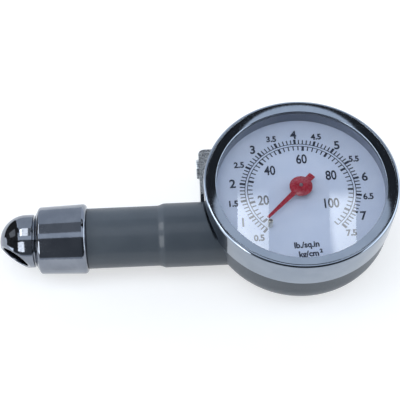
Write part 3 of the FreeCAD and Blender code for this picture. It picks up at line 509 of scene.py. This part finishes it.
def lathe(outline: list[Point], steps: int = 160) -> bmesh.types.BMesh:
    """Turns a closed outline about +Z.

    Args:
        outline: Points (radius, height), in metres. None is on the axis.
        steps: How many parts the turn has.

    Returns:
        The turned bmesh.
    """
    shape = bmesh.new()
    rings = []
    for i in range(steps):
        turn = math.tau * i / steps
        rings.append([shape.verts.new((r * math.cos(turn), r * math.sin(turn), z)) for r, z in outline])
    for i, ring in enumerate(rings):
        beside = rings[(i + 1) % steps]
        for j in range(len(outline)):
            k = (j + 1) % len(outline)
            shape.faces.new((ring[j], beside[j], beside[k], ring[k]))
    return shape


def slab(shape: bmesh.types.BMesh, corners: list[Point], low: float, high: float) -> None:
    """Adds a flat slab with the given corners to a bmesh.

    Args:
        shape: The bmesh that it joins.
        corners: The slab's outline, (x, y) in metres.
        low: Its underside.
        high: Its top.
    """
    bottom = [shape.verts.new((x, y, low)) for x, y in corners]
    top = [shape.verts.new((x, y, high)) for x, y in corners]
    shape.faces.new(bottom[::-1])
    shape.faces.new(top)
    for i in range(len(corners)):
        j = (i + 1) % len(corners)
        shape.faces.new((bottom[i], bottom[j], top[j], top[i]))


class Operation(Enum):
    """What a second solid does to a piece."""

    ADD = "UNION"
    CUT = "DIFFERENCE"


def settle(piece: bpy.types.Object) -> None:
    """Applies every modifier of a piece to its mesh."""
    bpy.context.view_layer.update()
    held = piece.evaluated_get(bpy.context.evaluated_depsgraph_get())
    mesh = bpy.data.meshes.new_from_object(held)
    piece.modifiers.clear()
    old = piece.data
    piece.data = mesh
    bpy.data.meshes.remove(old)
    mesh.name = piece.name


def combine(piece: bpy.types.Object, other: bpy.types.Object, operation: Operation) -> None:
    """Adds a second solid to a piece, or cuts it away, and removes it.

    Args:
        piece: What stays.
        other: What is added or cut away.
        operation: Which of the two it is.
    """
    modifier = piece.modifiers.new("combine", "BOOLEAN")
    modifier.operation = operation.value
    modifier.solver = "EXACT"
    modifier.object = other
    settle(piece)
    bpy.data.objects.remove(other)


def soften(piece: bpy.types.Object, width: float, crisp: float = 40.0) -> None:
    """Rounds the crisp edges of a piece.

    Args:
        piece: The piece.
        width: How wide the rounding is.
        crisp: Edges that turn more than this many degrees are rounded.
    """
    modifier = piece.modifiers.new("soften", "BEVEL")
    modifier.width = width
    modifier.segments = 3
    modifier.limit_method = "ANGLE"
    modifier.angle_limit = math.radians(crisp)
    modifier.harden_normals = False
    settle(piece)


@dataclass
class SubAssembly:
    """A group of pieces that is built and dressed together."""

    finishes: dict[Slot, bpy.types.Material]
    pieces: list[str] = field(default_factory=list)

    def dress(self, material: bpy.types.Material, *nodes: str) -> None:
        """Keeps carried-over nodes as they are, with a finish of their own."""
        for node in nodes:
            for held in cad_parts[node].material_slots:
                held.material = material
        self.pieces.extend(nodes)

    def keep(self, slot: Slot, *nodes: str) -> None:
        """Keeps carried-over nodes as they are, with the finish of their slot."""
        self.dress(self.finishes[slot], *nodes)

    def fit(self, piece: bpy.types.Object, body: str, slot: Slot, *stands_for: str) -> None:
        """Fixes a new piece to its body.

        Args:
            piece: The new piece.
            body: The body that it rides on.
            slot: Not used.
            *stands_for: The nodes that it replaces.
        """
        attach(piece, body)
        if stands_for:
            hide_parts(*stands_for)
        self.pieces.append(piece.name)

    def report(self) -> None:
        """Logs each piece of the sub-assembly."""
        for name in self.pieces:
            LOG.info("%s: %s", type(self).__name__, name)


# ---------------------------------------------------------------- sub-assemblies

@dataclass
class Casting(SubAssembly):
    """The painted head and stem."""

    def build(self) -> None:
        """Dresses the casting."""
        self.keep(Slot.GREY_PAINT, "case_body")


@dataclass
class Front(SubAssembly):
    """Rolled bezel, crystal, gasket, the ring under the glass, the dial plate and the stop pin."""

    opening: float = 22.9 * MM
    wall_low: float = 26.05 * MM
    roll: float = 0.85 * MM
    slope: float = 12.4
    lip_round: float = 0.27 * MM
    lip_gap: float = 0.01 * MM
    gasket_gap: float = 0.1 * MM
    pin_finish: TurnedMetal = TurnedMetal("pale_brass", (0.80, 0.77, 0.69), (0.62, 0.59, 0.52))

    def bezel(self) -> None:
        """Rolls the bezel: a drawn wall, a crest and a face that slopes down to the glass."""
        low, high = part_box("bezel")
        glass_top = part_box("crystal")[1].z + self.lip_gap
        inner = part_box("crystal_gasket")[1].x + self.gasket_gap
        crest = (high.x - self.roll, high.z - self.roll)
        outer_roll = arc(crest, self.roll, 0.0, 90.0 + self.slope, steps=16)
        start = outer_roll[-1]
        fall = math.tan(math.radians(self.slope))
        lip_r = self.opening + self.lip_round
        lip_z = start[1] - (start[0] - lip_r) * fall - self.lip_round
        outline = [(inner, low.z), (self.wall_low, low.z), *outer_roll]
        outline += arc((lip_r, lip_z), self.lip_round, 90.0 + self.slope, 180.0, steps=6)
        outline += [(self.opening, glass_top), (inner, glass_top)]
        ring = finish_mesh("bezel_ring", lathe(outline, steps=256), self.finishes[Slot.CHROME], sharp=40.0)
        self.fit(ring, "case", Slot.CHROME, "bezel")

    def build(self) -> None:
        """Builds the bezel and dresses the rest."""
        self.bezel()
        self.keep(Slot.GLASS, "crystal")
        self.keep(Slot.BLACK_RUBBER, "crystal_gasket")
        self.keep(Slot.RING_GREY, "spacer_ring")
        self.keep(Slot.DIAL_WHITE, "dial_plate")
        self.dress(self.pin_finish.build(), "stop_pin")
        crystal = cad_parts["crystal"]
        crystal.visible_shadow = False
        crystal.visible_diffuse = False


@dataclass(frozen=True)
class Scale:
    """One scale of the dial: where its ticks and numbers stand."""

    name: str
    first: float
    last: float
    step: float
    bold_every: int
    arc_r: float
    tick: float
    bold_tick: float
    outward: bool
    degrees_per_unit: float
    top_value: float

    def angle(self, value: float) -> float:
        """The direction of a value on the dial, in degrees from +X."""
        return 90.0 - (value - self.top_value) * self.degrees_per_unit

    def values(self) -> list[float]:
        """The value at each tick."""
        count = round((self.last - self.first) / self.step)
        return [self.first + self.step * i for i in range(count + 1)]


@dataclass(frozen=True)
class Label:
    """A printed number or unit.

    The angle is measured from +X about the dial's middle, the lean turns the word itself, the
    shift moves it off its place on the scale and narrow is the width that its letters keep.
    """

    text: str
    radius: float
    angle: float
    height: float
    lean: float = 0.0
    shift: Point = (0.0, 0.0)
    narrow: float = 0.93


@dataclass
class Dial(SubAssembly):
    """The print on the dial plate: two scales, their arcs, numbers and units."""

    twist: float = 0.9
    film: float = 0.02 * MM
    line_film: float = 0.022 * MM
    thin: float = 0.33 * MM
    bold: float = 0.66 * MM
    line: float = 0.20 * MM
    weight: float = 0.095 * MM
    print_shift: Point = (-0.15 * MM, -0.22 * MM)
    cap_share: float = 0.729
    big: float = 2.7 * MM
    small: float = 1.85 * MM
    inner_big: float = 3.0 * MM
    unit: float = 1.75 * MM
    raised_share: float = 0.62
    whole_r: float = 18.4 * MM
    half_r: float = 18.45 * MM
    inner_r: float = 10.4 * MM
    inner_narrow: float = 0.74
    inner_numbers: tuple[tuple[int, Point], ...] = (
        (20, (0.0, 0.0)), (40, (0.0, 0.0)), (60, (-0.1 * MM, 0.0)), (80, (-0.4 * MM, 0.0)),
        (100, (-0.9 * MM, 0.85 * MM)),
    )
    top_kg: float = 4.0
    degrees_per_kg: float = 39.5
    psi_per_kg: float = 14.223

    def scales(self) -> tuple[Scale, Scale]:
        """The kg/cm2 scale outside and the lb/sq.in scale inside."""
        outer = Scale("outer", first=0.5, last=7.5, step=0.1, bold_every=5, arc_r=15.05 * MM, tick=1.4 * MM,
                      bold_tick=1.55 * MM, outward=True, degrees_per_unit=self.degrees_per_kg,
                      top_value=self.top_kg)
        inner = Scale("inner", first=10.0, last=108.0, step=2.0, bold_every=5, arc_r=14.35 * MM,
                      tick=1.35 * MM, bold_tick=1.5 * MM, outward=False,
                      degrees_per_unit=self.degrees_per_kg / self.psi_per_kg,
                      top_value=self.top_kg * self.psi_per_kg)
        return outer, inner

    def ink(self) -> bpy.types.Material:
        """The navy ink of the print."""
        return Moulding("dial_ink", (0.010, 0.013, 0.030), (0.018, 0.022, 0.045), smooth=0.5, rough=0.65,
                        grain=0.15 * MM, depth=1e-6).build()

    def surface(self) -> float:
        """The height of the dial plate's face."""
        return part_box("dial_plate")[1].z

    def ticks(self, scale: Scale) -> bmesh.types.BMesh:
        """Builds one scale's ticks and its arc.

        Args:
            scale: The scale.

        Returns:
            Its bmesh, on the dial's face.
        """
        shape = bmesh.new()
        low = self.surface()
        side = 1 if scale.outward else -1
        for i, value in enumerate(scale.values()):
            strong = i % scale.bold_every == 0
            length = scale.bold_tick if strong else scale.tick
            half = (self.bold if strong else self.thin) / 2
            turn = Matrix.Rotation(math.radians(scale.angle(value) + self.twist), 2)
            near, far = scale.arc_r, scale.arc_r + side * length
            corners = ((near, -half), (far, -half), (far, half), (near, half))
            turned = [tuple(turn @ Vector(spot)) for spot in corners]
            slab(shape, turned[::side], low, low + self.film)
        self.sweep(shape, scale, low)
        return shape

    def sweep(self, shape: bmesh.types.BMesh, scale: Scale, low: float) -> None:
        """Adds the scale's arc line to its ticks.

        Args:
            shape: The bmesh that it joins.
            scale: The scale.
            low: The dial's face.
        """
        start = scale.angle(scale.last) + self.twist
        end = scale.angle(scale.first) + self.twist
        steps = 120
        half = self.line / 2
        inside = arc((0.0, 0.0), scale.arc_r - half, start, end, steps)
        outside = arc((0.0, 0.0), scale.arc_r + half, start, end, steps)
        high = low + self.line_film
        for i in range(steps):
            slab(shape, [inside[i], outside[i], outside[i + 1], inside[i + 1]], low, high)

    def labels(self) -> list[Label]:
        """Every number on the two scales."""
        outer, inner = self.scales()
        numbers = []
        for half in range(round(2 * outer.first), round(2 * outer.last) + 1):
            whole = half % 2 == 0
            radius = self.whole_r if whole else self.half_r
            height = self.big if whole else self.small
            numbers.append(Label(f"{half / 2:g}", radius, outer.angle(half / 2), height))
        for value, shift in self.inner_numbers:
            numbers.append(Label(str(value), self.inner_r, inner.angle(value), self.inner_big, shift=shift,
                                 narrow=self.inner_narrow))
        return numbers

    def units(self) -> list[Label]:
        """The two unit names under the middle."""
        return [Label("lb./sq.in", radius=16.85 * MM, angle=-89.8, height=self.unit, lean=1.5),
                Label("kg/cm", radius=19.6 * MM, angle=-89.0, height=self.unit, lean=2.5),
                Label("2", radius=19.0 * MM, angle=-78.9, height=self.unit * self.raised_share, lean=2.5)]

    def word(self, label: Label) -> bpy.types.Mesh:
        """Makes one label's mesh, lying on the dial.

        Args:
            label: What is printed, and where.

        Returns:
            The mesh.
        """
        curve = bpy.data.curves.new(label.text, "FONT")
        curve.body = label.text
        curve.align_x = "CENTER"
        curve.align_y = "CENTER"
        curve.size = label.height / self.cap_share
        curve.extrude = self.film / 2
        curve.offset = self.weight
        curve.resolution_u = 4
        helper = bpy.data.objects.new("print_helper", curve)
        bpy.context.scene.collection.objects.link(helper)
        bpy.context.view_layer.update()
        mesh = bpy.data.meshes.new_from_object(helper.evaluated_get(bpy.context.evaluated_depsgraph_get()))
        for axis in (0, 1):
            along = [vertex.co[axis] for vertex in mesh.vertices]
            middle = (min(along) + max(along)) / 2
            for vertex in mesh.vertices:
                vertex.co[axis] -= middle
        turn = math.radians(label.angle + self.twist)
        spot = Vector((math.cos(turn), math.sin(turn), 0.0)) * label.radius
        spot += Vector((label.shift[0] + self.print_shift[0], label.shift[1] + self.print_shift[1], 0.0))
        spot.z = self.surface() + self.film / 2
        lean = Matrix.Rotation(math.radians(self.twist + label.lean), 4, "Z")
        mesh.transform(Matrix.Translation(spot) @ lean @ Matrix.Diagonal((label.narrow, 1.0, 1.0, 1.0)))
        bpy.data.objects.remove(helper)
        bpy.data.curves.remove(curve)
        return mesh

    def words(self, labels: list[Label]) -> bmesh.types.BMesh:
        """Joins several labels' meshes.

        Args:
            labels: The labels.

        Returns:
            One bmesh with all of them.
        """
        shape = bmesh.new()
        for label in labels:
            mesh = self.word(label)
            shape.from_mesh(mesh)
            bpy.data.meshes.remove(mesh)
        return shape

    def build(self) -> None:
        """Prints the dial."""
        ink = self.ink()
        prints = {f"dial_scale_{scale.name}": self.ticks(scale) for scale in self.scales()}
        prints["dial_numbers"] = self.words(self.labels())
        prints["dial_units"] = self.words(self.units())
        for name, shape in prints.items():
            self.fit(finish_mesh(name, shape, ink, sharp=30.0), "case", Slot.DIAL_WHITE)


@dataclass
class Needle(SubAssembly):
    """The red pointer: a domed disc with a blade and a short tail, and its brass bush."""

    blade: float = 13.4 * MM
    root: float = 1.5 * MM
    tip: float = 0.7 * MM
    tail: float = 4.7 * MM
    tail_width: float = 1.9 * MM
    disc_edge: float = 0.22 * MM
    blade_thick: float = 0.34 * MM
    arbor: float = 0.5 * MM
    disc_r: float = 3.1 * MM
    waist: float = 1.6 * MM
    edge_round: float = 0.09 * MM
    angle: float = 224.3

    def disc(self, low: float, high: float) -> bpy.types.Object:
        """Turns the domed disc, with the hole for the arbor.

        Args:
            low: Its underside.
            high: The top of its dome.

        Returns:
            The disc.
        """
        rise = high - low - self.disc_edge
        dome = (self.disc_r ** 2 + rise ** 2) / (2 * rise)
        half = math.degrees(math.asin(self.disc_r / dome))
        hole = math.degrees(math.asin(self.arbor / dome))
        top = arc((0.0, high - dome), dome, 90.0 - half, 90.0 - hole, steps=14)
        outline = [(self.arbor, low), (self.disc_r, low), *top]
        return finish_mesh("pointer_needle", lathe(outline, steps=96), self.finishes[Slot.POINTER_RED])

    def bar(self, low: float) -> bpy.types.Object:
        """Cuts the blade and the tail from one strip.

        Args:
            low: Its underside.

        Returns:
            The strip, along +X.
        """
        half_root, half_tip, half_tail = self.root / 2, self.tip / 2, self.tail_width / 2
        corners = [(-self.tail, -half_tail), (-self.waist, -half_tail), (self.waist, -half_root),
                   (self.blade, -half_tip), (self.blade, half_tip), (self.waist, half_root),
                   (-self.waist, half_tail), (-self.tail, half_tail)]
        shape = bmesh.new()
        slab(shape, corners, low, low + self.blade_thick)
        return finish_mesh("needle_strip", shape, self.finishes[Slot.POINTER_RED])

    def build(self) -> None:
        """Joins disc and strip into one pointer and dresses the bush."""
        low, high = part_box("pointer")
        needle = self.disc(low.z, high.z)
        combine(needle, self.bar(low.z), Operation.ADD)
        bore = lathe([(self.arbor, low.z), (self.arbor, high.z), (CORE, high.z), (CORE, low.z)], steps=64)
        cutter = finish_mesh("needle_bore", bore, self.finishes[Slot.POINTER_RED])
        combine(needle, cutter, Operation.CUT)
        soften(needle, self.edge_round)
        needle.data.transform(Matrix.Rotation(math.radians(self.angle), 4, "Z"))
        self.fit(needle, "pointer", Slot.POINTER_RED, "pointer")
        self.keep(Slot.BRASS, "pointer_bush")


@dataclass
class Movement(SubAssembly):
    """The gear train between the tube and the pointer."""

    def build(self) -> None:
        """Dresses the movement."""
        self.keep(Slot.BRASS, "movement_bottom_plate", "movement_top_plate", "movement_pillars",
                  "sector_gear", "hairspring_stud", "hairspring_collet", "link_bar")
        self.keep(Slot.STEEL, "movement_screws", "sector_arbor", "pinion_arbor", "link_pin", "tip_pin")
        self.keep(Slot.SPRING_STEEL, "hairspring")


@dataclass
class Pressure(SubAssembly):
    """The pressure parts: Bourdon tube, socket, feed tube and check valve."""

    def build(self) -> None:
        """Dresses the pressure parts."""
        self.keep(Slot.BRONZE, "bourdon_tube")
        self.keep(Slot.BRASS, "bourdon_tip", "bourdon_socket", "feed_tube", "check_seat", "check_poppet")
        self.keep(Slot.STEEL, "socket_screws")
        self.keep(Slot.SPRING_STEEL, "check_spring")
        self.keep(Slot.BLACK_RUBBER, "feed_gasket", "check_disc")


@dataclass
class BleedValve(SubAssembly):
    """The button that lets the pressure out again, with its housing."""

    def build(self) -> None:
        """Dresses the bleed valve."""
        self.keep(Slot.BRIGHT_NICKEL, "bleed_housing", "bleed_button")
        self.keep(Slot.BRASS, "bleed_stem")
        self.keep(Slot.SPRING_STEEL, "bleed_spring")
        self.keep(Slot.BLACK_RUBBER, "bleed_disc")


@dataclass
class BallFoot(SubAssembly):
    """The chromed ring nut and the swivelling ball chuck with its rolled mouth.

    Lengths along the stem are measured from the head's axis towards the ball, and those in the mouth
    from the ball's middle outwards. The flange, the groove and the seat each give where they start,
    where they end and their radius. The spigot and the pin's hole give their end and their radius.
    """

    ball_r: float = 7.3 * MM
    ball_u: float = 75.2 * MM
    foot_u: float = 72.95 * MM
    edge: float = 0.35 * MM
    neck_r: float = 6.0 * MM
    flange: tuple[float, float, float] = (68.0 * MM, 70.35 * MM, 6.9 * MM)
    spigot: tuple[float, float] = (62.0 * MM, 4.0 * MM)
    groove: tuple[float, float, float] = (65.6 * MM, 66.7 * MM, 3.1 * MM)
    way_r: float = 1.6 * MM
    mouth: Vector = field(default_factory=lambda: Vector((-0.58, -0.80, -0.15)).normalized())
    mouth_plane: float = 5.5 * MM
    mouth_r: float = 4.05 * MM
    lip_r: float = 0.3 * MM
    lip_fall: float = 0.03 * MM
    seat: tuple[float, float, float] = (0.4 * MM, 2.5 * MM, 3.85 * MM)
    pin_hole: tuple[float, float] = (-4.6 * MM, 0.8 * MM)
    past: float = 2 * MM
    sharp: float = 30.0

    def finish(self) -> bpy.types.Material:
        """The duller, more finely pitted chrome of the foot."""
        return Plate("foot_chrome", (0.25, 0.27, 0.31), (0.205, 0.225, 0.265), smooth=0.05, rough=0.10,
                     ripple=2.5 * MM, ripple_depth=6e-6, grain=0.26 * MM, grain_depth=5e-6).build()

    def body(self) -> bmesh.types.BMesh:
        """Turns the ball with its neck, flange and spigot."""
        low, high, flange_r = self.flange
        end, spigot_r = self.spigot
        groove_low, groove_high, groove_r = self.groove
        ball = arc((0.0, self.ball_u), self.ball_r, 90.0, 0.0, steps=36)
        ball[0] = (CORE, ball[0][1])
        rolled = arc((self.ball_r - self.edge, self.foot_u + self.edge), self.edge, 0.0, -90.0, steps=6)
        outline = [*ball, *rolled, (self.neck_r, self.foot_u), (self.neck_r, high), (flange_r, high),
                   (flange_r, low), (spigot_r, low), (spigot_r, groove_high), (groove_r, groove_high),
                   (groove_r, groove_low), (spigot_r, groove_low), (spigot_r, end), (self.way_r, end),
                   (self.way_r, self.ball_u), (CORE, self.ball_u)]
        return lathe(outline, steps=192)

    def mouth_cut(self) -> bmesh.types.BMesh:
        """Turns what is cut from the ball at its mouth, along +Z from the ball's middle."""
        seat_low, seat_high, seat_r = self.seat
        hole_end, hole_r = self.pin_hole
        middle = (self.mouth_r + self.lip_r, self.mouth_plane - self.lip_r)
        lip = arc(middle, self.lip_r, 180.0, 45.0, steps=10)
        far = self.ball_r + self.past
        outline = [(CORE, hole_end), (hole_r, hole_end), (hole_r, -self.way_r), (self.way_r, -self.way_r),
                   (self.way_r, seat_low), (seat_r, seat_low), (seat_r, seat_high), (self.mouth_r, seat_high),
                   *lip, (far, lip[-1][1] + self.lip_fall), (far, far), (CORE, far)]
        return lathe(outline)

    def ball(self, chrome: bpy.types.Material) -> bpy.types.Object:
        """Cuts the mouth out of the ball.

        Args:
            chrome: The foot's finish.

        Returns:
            The foot.
        """
        low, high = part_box("collar")
        middle = (low + high) / 2
        foot = finish_mesh("ball_foot", self.body(), chrome, self.sharp)
        upright = Matrix.Rotation(math.radians(-90.0), 4, "Y")
        foot.data.transform(Matrix.Translation((0.0, middle.y, middle.z)) @ upright)
        cut = finish_mesh("mouth_cut", self.mouth_cut(), chrome, self.sharp)
        centre = Vector((-self.ball_u, middle.y, middle.z))
        slant = self.mouth.to_track_quat("Z", "Y").to_matrix().to_4x4()
        cut.data.transform(Matrix.Translation(centre) @ slant)
        combine(foot, cut, Operation.CUT)
        foot.data.set_sharp_from_angle(angle=math.radians(self.sharp))
        return foot

    def build(self) -> None:
        """Builds the ball and dresses the rest."""
        chrome = self.finish()
        self.dress(chrome, "collar")
        self.fit(self.ball(chrome), "chuck", Slot.CHROME, "chuck_body")
        self.keep(Slot.BLACK_RUBBER, "chuck_seal", "swivel_seal")
        self.keep(Slot.BRASS, "depressor_pin")


# ---------------------------------------------------------------- studio

# Where the foot's tent and cards have their middle, as y and z.
FOOT_AXIS = (-5.9 * MM, 9.9 * MM)


@dataclass(frozen=True)
class Window:
    """A window pane, by the corners of its mirror image on the crystal in millimetres.

    The corners go round from the near left one. Its far end fades out, as may its left side.
    """

    name: str
    corners: tuple[Point, Point, Point, Point]
    bright: float
    far_fade: float
    left_fade: float
    right_share: float
    left_start: float = -0.001
    colour: Colour = (0.90, 0.95, 1.0)

    def finish(self) -> bpy.types.Material:
        """The pane's glow, from its Generated coordinates."""
        graph = Graph(self.name)
        split = graph.add("ShaderNodeSeparateXYZ")
        place = graph.add("ShaderNodeTexCoord")
        graph.join(place.outputs["Generated"], split.inputs["Vector"])
        across, along = split.outputs["X"], split.outputs["Y"]
        far = graph.spread(along, 1.0, 0.0, 1.0 - self.far_fade, 1.0)
        left = graph.spread(across, 0.0, 1.0, self.left_start, self.left_fade)
        right = graph.spread(across, 1.0, self.right_share, 0.0, 1.0)
        light = graph.times(graph.times(far, left), right)
        graph.glow(self.colour)
        graph.drive(graph.times(light, self.bright), "Emission Strength")
        return graph.material


def glow_only(panel: bpy.types.Object) -> None:
    """Makes a panel of the stage show only in mirror-like surfaces."""
    panel.visible_camera = False
    panel.visible_diffuse = False
    panel.visible_transmission = False
    panel.visible_shadow = False


@dataclass(frozen=True)
class Card:
    """A curved glowing card that only mirror-like surfaces show, such as the ball and the stem's step.

    Its sides are given by their tilt towards the camera's side and their lean towards the head, as
    seen from its middle, which is on the foot's axis at the given place along the stem.
    """

    name: str
    tilts: Point
    leans: Point
    bright: float
    reach: float = 25 * MM
    place: float = -75.2 * MM
    steps: int = 10
    weave: float = 3 * MM
    dim_share: float = 0.7
    colour: Colour = (0.96, 0.98, 1.0)

    def sheet(self) -> bmesh.types.BMesh:
        """Bends the card."""
        shape = bmesh.new()
        middle = Vector((self.place, *FOOT_AXIS))
        rows = []
        for i in range(self.steps + 1):
            tilt = math.radians(self.tilts[0] + (self.tilts[1] - self.tilts[0]) * i / self.steps)
            row = []
            for j in range(self.steps + 1):
                lean = math.radians(self.leans[0] + (self.leans[1] - self.leans[0]) * j / self.steps)
                side = math.cos(lean)
                way = Vector((math.sin(lean), -math.sin(tilt) * side, math.cos(tilt) * side))
                row.append(shape.verts.new(middle + way * self.reach))
            rows.append(row)
        for near, far in zip(rows, rows[1:]):
            for j in range(self.steps):
                shape.faces.new((near[j], near[j + 1], far[j + 1], far[j]))
        return shape

    def build(self) -> None:
        """Hangs the card."""
        graph = Graph(self.name)
        weave = graph.noise(self.weave, 5.0)
        graph.glow(self.colour)
        graph.drive(graph.spread(weave, self.bright * self.dim_share, self.bright), "Emission Strength")
        glow_only(finish_mesh(self.name, self.sheet(), graph.material))


@dataclass(frozen=True)
class Tent:
    """A half-round tent over the ball foot that gives it and the ring nut their bands."""

    start: float = -130 * MM
    end: float = -62 * MM
    radius: float = 110 * MM
    half: float = 96.0
    steps: int = 96
    bands: tuple[Band, ...] = (
        Band(-96.0, -27.0, 0.85), Band(-26.0, 6.5, 0.34), Band(7.5, 22.0, 1.05),
        Band(23.5, 88.0, 0.16), Band(90.0, 96.0, 0.75),
    )

    def build(self) -> None:
        """Hangs the tent."""
        shape = bmesh.new()
        rims = []
        for x in (self.start, self.end):
            turns = arc((0.0, 0.0), self.radius, 90.0 + self.half, 90.0 - self.half, self.steps)
            rims.append([shape.verts.new((x, -y, z)) for y, z in turns])
        for i in range(self.steps):
            shape.faces.new((rims[0][i], rims[1][i], rims[1][i + 1], rims[0][i + 1]))
        graph = Graph("tent_cloth")
        graph.glow((1.0, 1.0, 1.0))
        graph.drive(graph.banded(graph.coordinates, self.bands)[0], "Emission Color")
        tent = finish_mesh("foot_tent", shape, graph.material)
        tent.location = (0.0, *FOOT_AXIS)
        glow_only(tent)


@dataclass
class Studio:
    """Pale floor, light tent, window panes, cards, key lamp and camera."""

    aim: Vector = field(default_factory=lambda: Vector((-27.2, 1.93, 15.0)) * MM)
    distance: float = 330.7 * MM
    azimuth: float = -2.16
    elevation: float = 58.81
    roll: float = -0.59
    lens: float = 107.98
    floor_size: float = 3.0
    window_height: float = 0.30

    bands: tuple[Band, ...] = (
        Band(-180.0, -41.0, 1.12), Band(-40.0, -12.5, 0.045), Band(-11.5, 22.0, 1.2),
        Band(23.5, 88.0, 0.08), Band(91.0, 180.0, 0.7),
    )
    windows: tuple[Window, ...] = (
        Window("window_left", ((-18.65, -23.4), (-10.55, -23.8), (-8.9, -1.0), (-17.2, -0.4)),
               bright=5.6, far_fade=0.35, left_fade=0.05, right_share=0.6),
        Window("window_right", ((5.1, -24.5), (11.95, -24.9), (14.4, -2.0), (7.3, -1.8)),
               bright=4.2, far_fade=0.25, left_fade=0.3, right_share=1.0),
    )
    cards: tuple[Card, ...] = (
        Card("card_high", tilts=(-21.0, 9.0), leans=(-13.0, 0.0), bright=3.0),
        Card("card_low", tilts=(32.0, 68.0), leans=(-27.0, -6.0), bright=3.6),
        Card("card_dark", tilts=(-88.0, 62.0), leans=(-78.0, -27.0), bright=0.05, reach=27 * MM),
        Card("card_glow", tilts=(-30.0, 4.0), leans=(-60.0, -36.0), bright=0.45, reach=26 * MM),
        Card("card_step_high", tilts=(-24.0, 6.0), leans=(-41.0, -31.0), bright=8.0, reach=105 * MM,
             place=-38 * MM),
        Card("card_step_low", tilts=(31.0, 74.0), leans=(-41.0, -31.0), bright=8.0, reach=105 * MM,
             place=-38 * MM),
    )
    side_start: float = 0.80
    side_blur: float = 0.02
    side_light: Colour = (2.6, 2.8, 3.0)
    floor_light: float = 0.60
    key_spot: Vector = field(default_factory=lambda: Vector((-0.15, -0.08, 0.80)))
    key_aim: Vector = field(default_factory=lambda: Vector((-0.02, 0.0, 0.01)))
    key_size: float = 0.50
    key_power: float = 1.6

    def pose(self) -> Matrix:
        """Where the camera stands."""
        turn = Matrix.Rotation(math.radians(self.azimuth), 4, "Z")
        tilt = Matrix.Rotation(math.radians(90.0 - self.elevation), 4, "X")
        roll = Matrix.Rotation(math.radians(self.roll), 4, "Z")
        back = Matrix.Translation((0.0, 0.0, self.distance))
        return Matrix.Translation(self.aim) @ turn @ tilt @ roll @ back

    def camera(self) -> None:
        """Sets up the camera."""
        data = bpy.data.cameras.new("camera")
        data.lens = self.lens
        data.sensor_width = 36.0
        data.clip_start = 0.01
        data.clip_end = 10.0
        camera = bpy.data.objects.new("camera", data)
        camera.matrix_world = self.pose()
        bpy.context.scene.collection.objects.link(camera)
        bpy.context.scene.camera = camera

    def floor(self) -> None:
        """Lays the floor."""
        shape = bmesh.new()
        half = self.floor_size / 2
        corners = ((-half, -half), (half, -half), (half, half), (-half, half))
        shape.faces.new([shape.verts.new((x, y, 0.0)) for x, y in corners])
        finish = Moulding("floor_paper", (0.50, 0.51, 0.52), (0.485, 0.50, 0.51), smooth=0.7, rough=0.85,
                          grain=2 * MM, depth=1e-5)
        paper = finish.build()
        shader = paper.node_tree.nodes["Principled BSDF"]
        shader.inputs["Emission Color"].default_value = (1.0, 1.0, 1.0, 1.0)
        shader.inputs["Emission Strength"].default_value = self.floor_light
        floor = finish_mesh("studio_floor", shape, paper)

    def sky(self) -> None:
        """Lights the scene from a tent with dark gaps between its panels and a bright wall on each side."""
        world = bpy.data.worlds.new("light_tent")
        bpy.context.scene.world = world
        world.use_nodes = True
        nodes = Nodes(world.node_tree)
        place = nodes.add("ShaderNodeTexCoord")
        colour, across = nodes.banded(place.outputs["Generated"], self.bands)
        size = nodes.add("ShaderNodeMath", operation="ABSOLUTE")
        nodes.join(across, size.inputs[0])
        wall = nodes.spread(size.outputs["Value"], 0.0, 1.0, self.side_start - self.side_blur,
                            self.side_start + self.side_blur)
        mix = nodes.add("ShaderNodeMix", data_type="RGBA")
        mix.inputs[MIX_SECOND].default_value = (*self.side_light, 1.0)
        nodes.join(wall, mix.inputs["Factor"])
        nodes.join(colour, mix.inputs[MIX_FIRST])
        nodes.join(mix.outputs[MIX_RESULT], nodes.tree.nodes["Background"].inputs["Color"])

    def key_lamp(self) -> None:
        """Hangs the soft square key lamp, which mirror-like surfaces don't show."""
        data = bpy.data.lights.new("key_lamp", "AREA")
        data.size = self.key_size
        data.energy = self.key_power
        lamp = bpy.data.objects.new("key_lamp", data)
        lamp.location = self.key_spot
        lamp.rotation_mode = "QUATERNION"
        lamp.rotation_quaternion = (self.key_aim - self.key_spot).to_track_quat("-Z", "Y")
        lamp.visible_camera = False
        lamp.visible_glossy = False
        bpy.context.scene.collection.objects.link(lamp)

    def panes(self) -> None:
        """Hangs the two window panes that the crystal mirrors."""
        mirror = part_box("crystal")[1].z
        eye = self.pose().translation
        image = Vector((eye.x, eye.y, 2 * mirror - eye.z))
        for window in self.windows:
            shape = bmesh.new()
            spots = []
            for x, y in window.corners:
                ray = Vector((x * MM, y * MM, mirror)) - image
                spots.append(shape.verts.new(image + ray * ((self.window_height - image.z) / ray.z)))
            shape.faces.new(spots)
            glow_only(finish_mesh(window.name, shape, window.finish()))

    def build(self) -> None:
        """Sets the stage."""
        self.camera()
        self.floor()
        self.sky()
        self.panes()
        Tent().build()
        for card in self.cards:
            card.build()
        self.key_lamp()
        bpy.context.scene.view_settings.view_transform = "Standard"


def main() -> None:
    """Builds and dresses the gauge, then sets the stage around it."""
    logging.basicConfig(level=logging.INFO, format="%(message)s")
    finishes = finish_book()
    for kind in (Casting, Front, Dial, Needle, Movement, Pressure, BleedValve, BallFoot):
        group = kind(finishes)
        group.build()
        group.report()
    Studio().build()


if __name__ == "__main__":
    main()
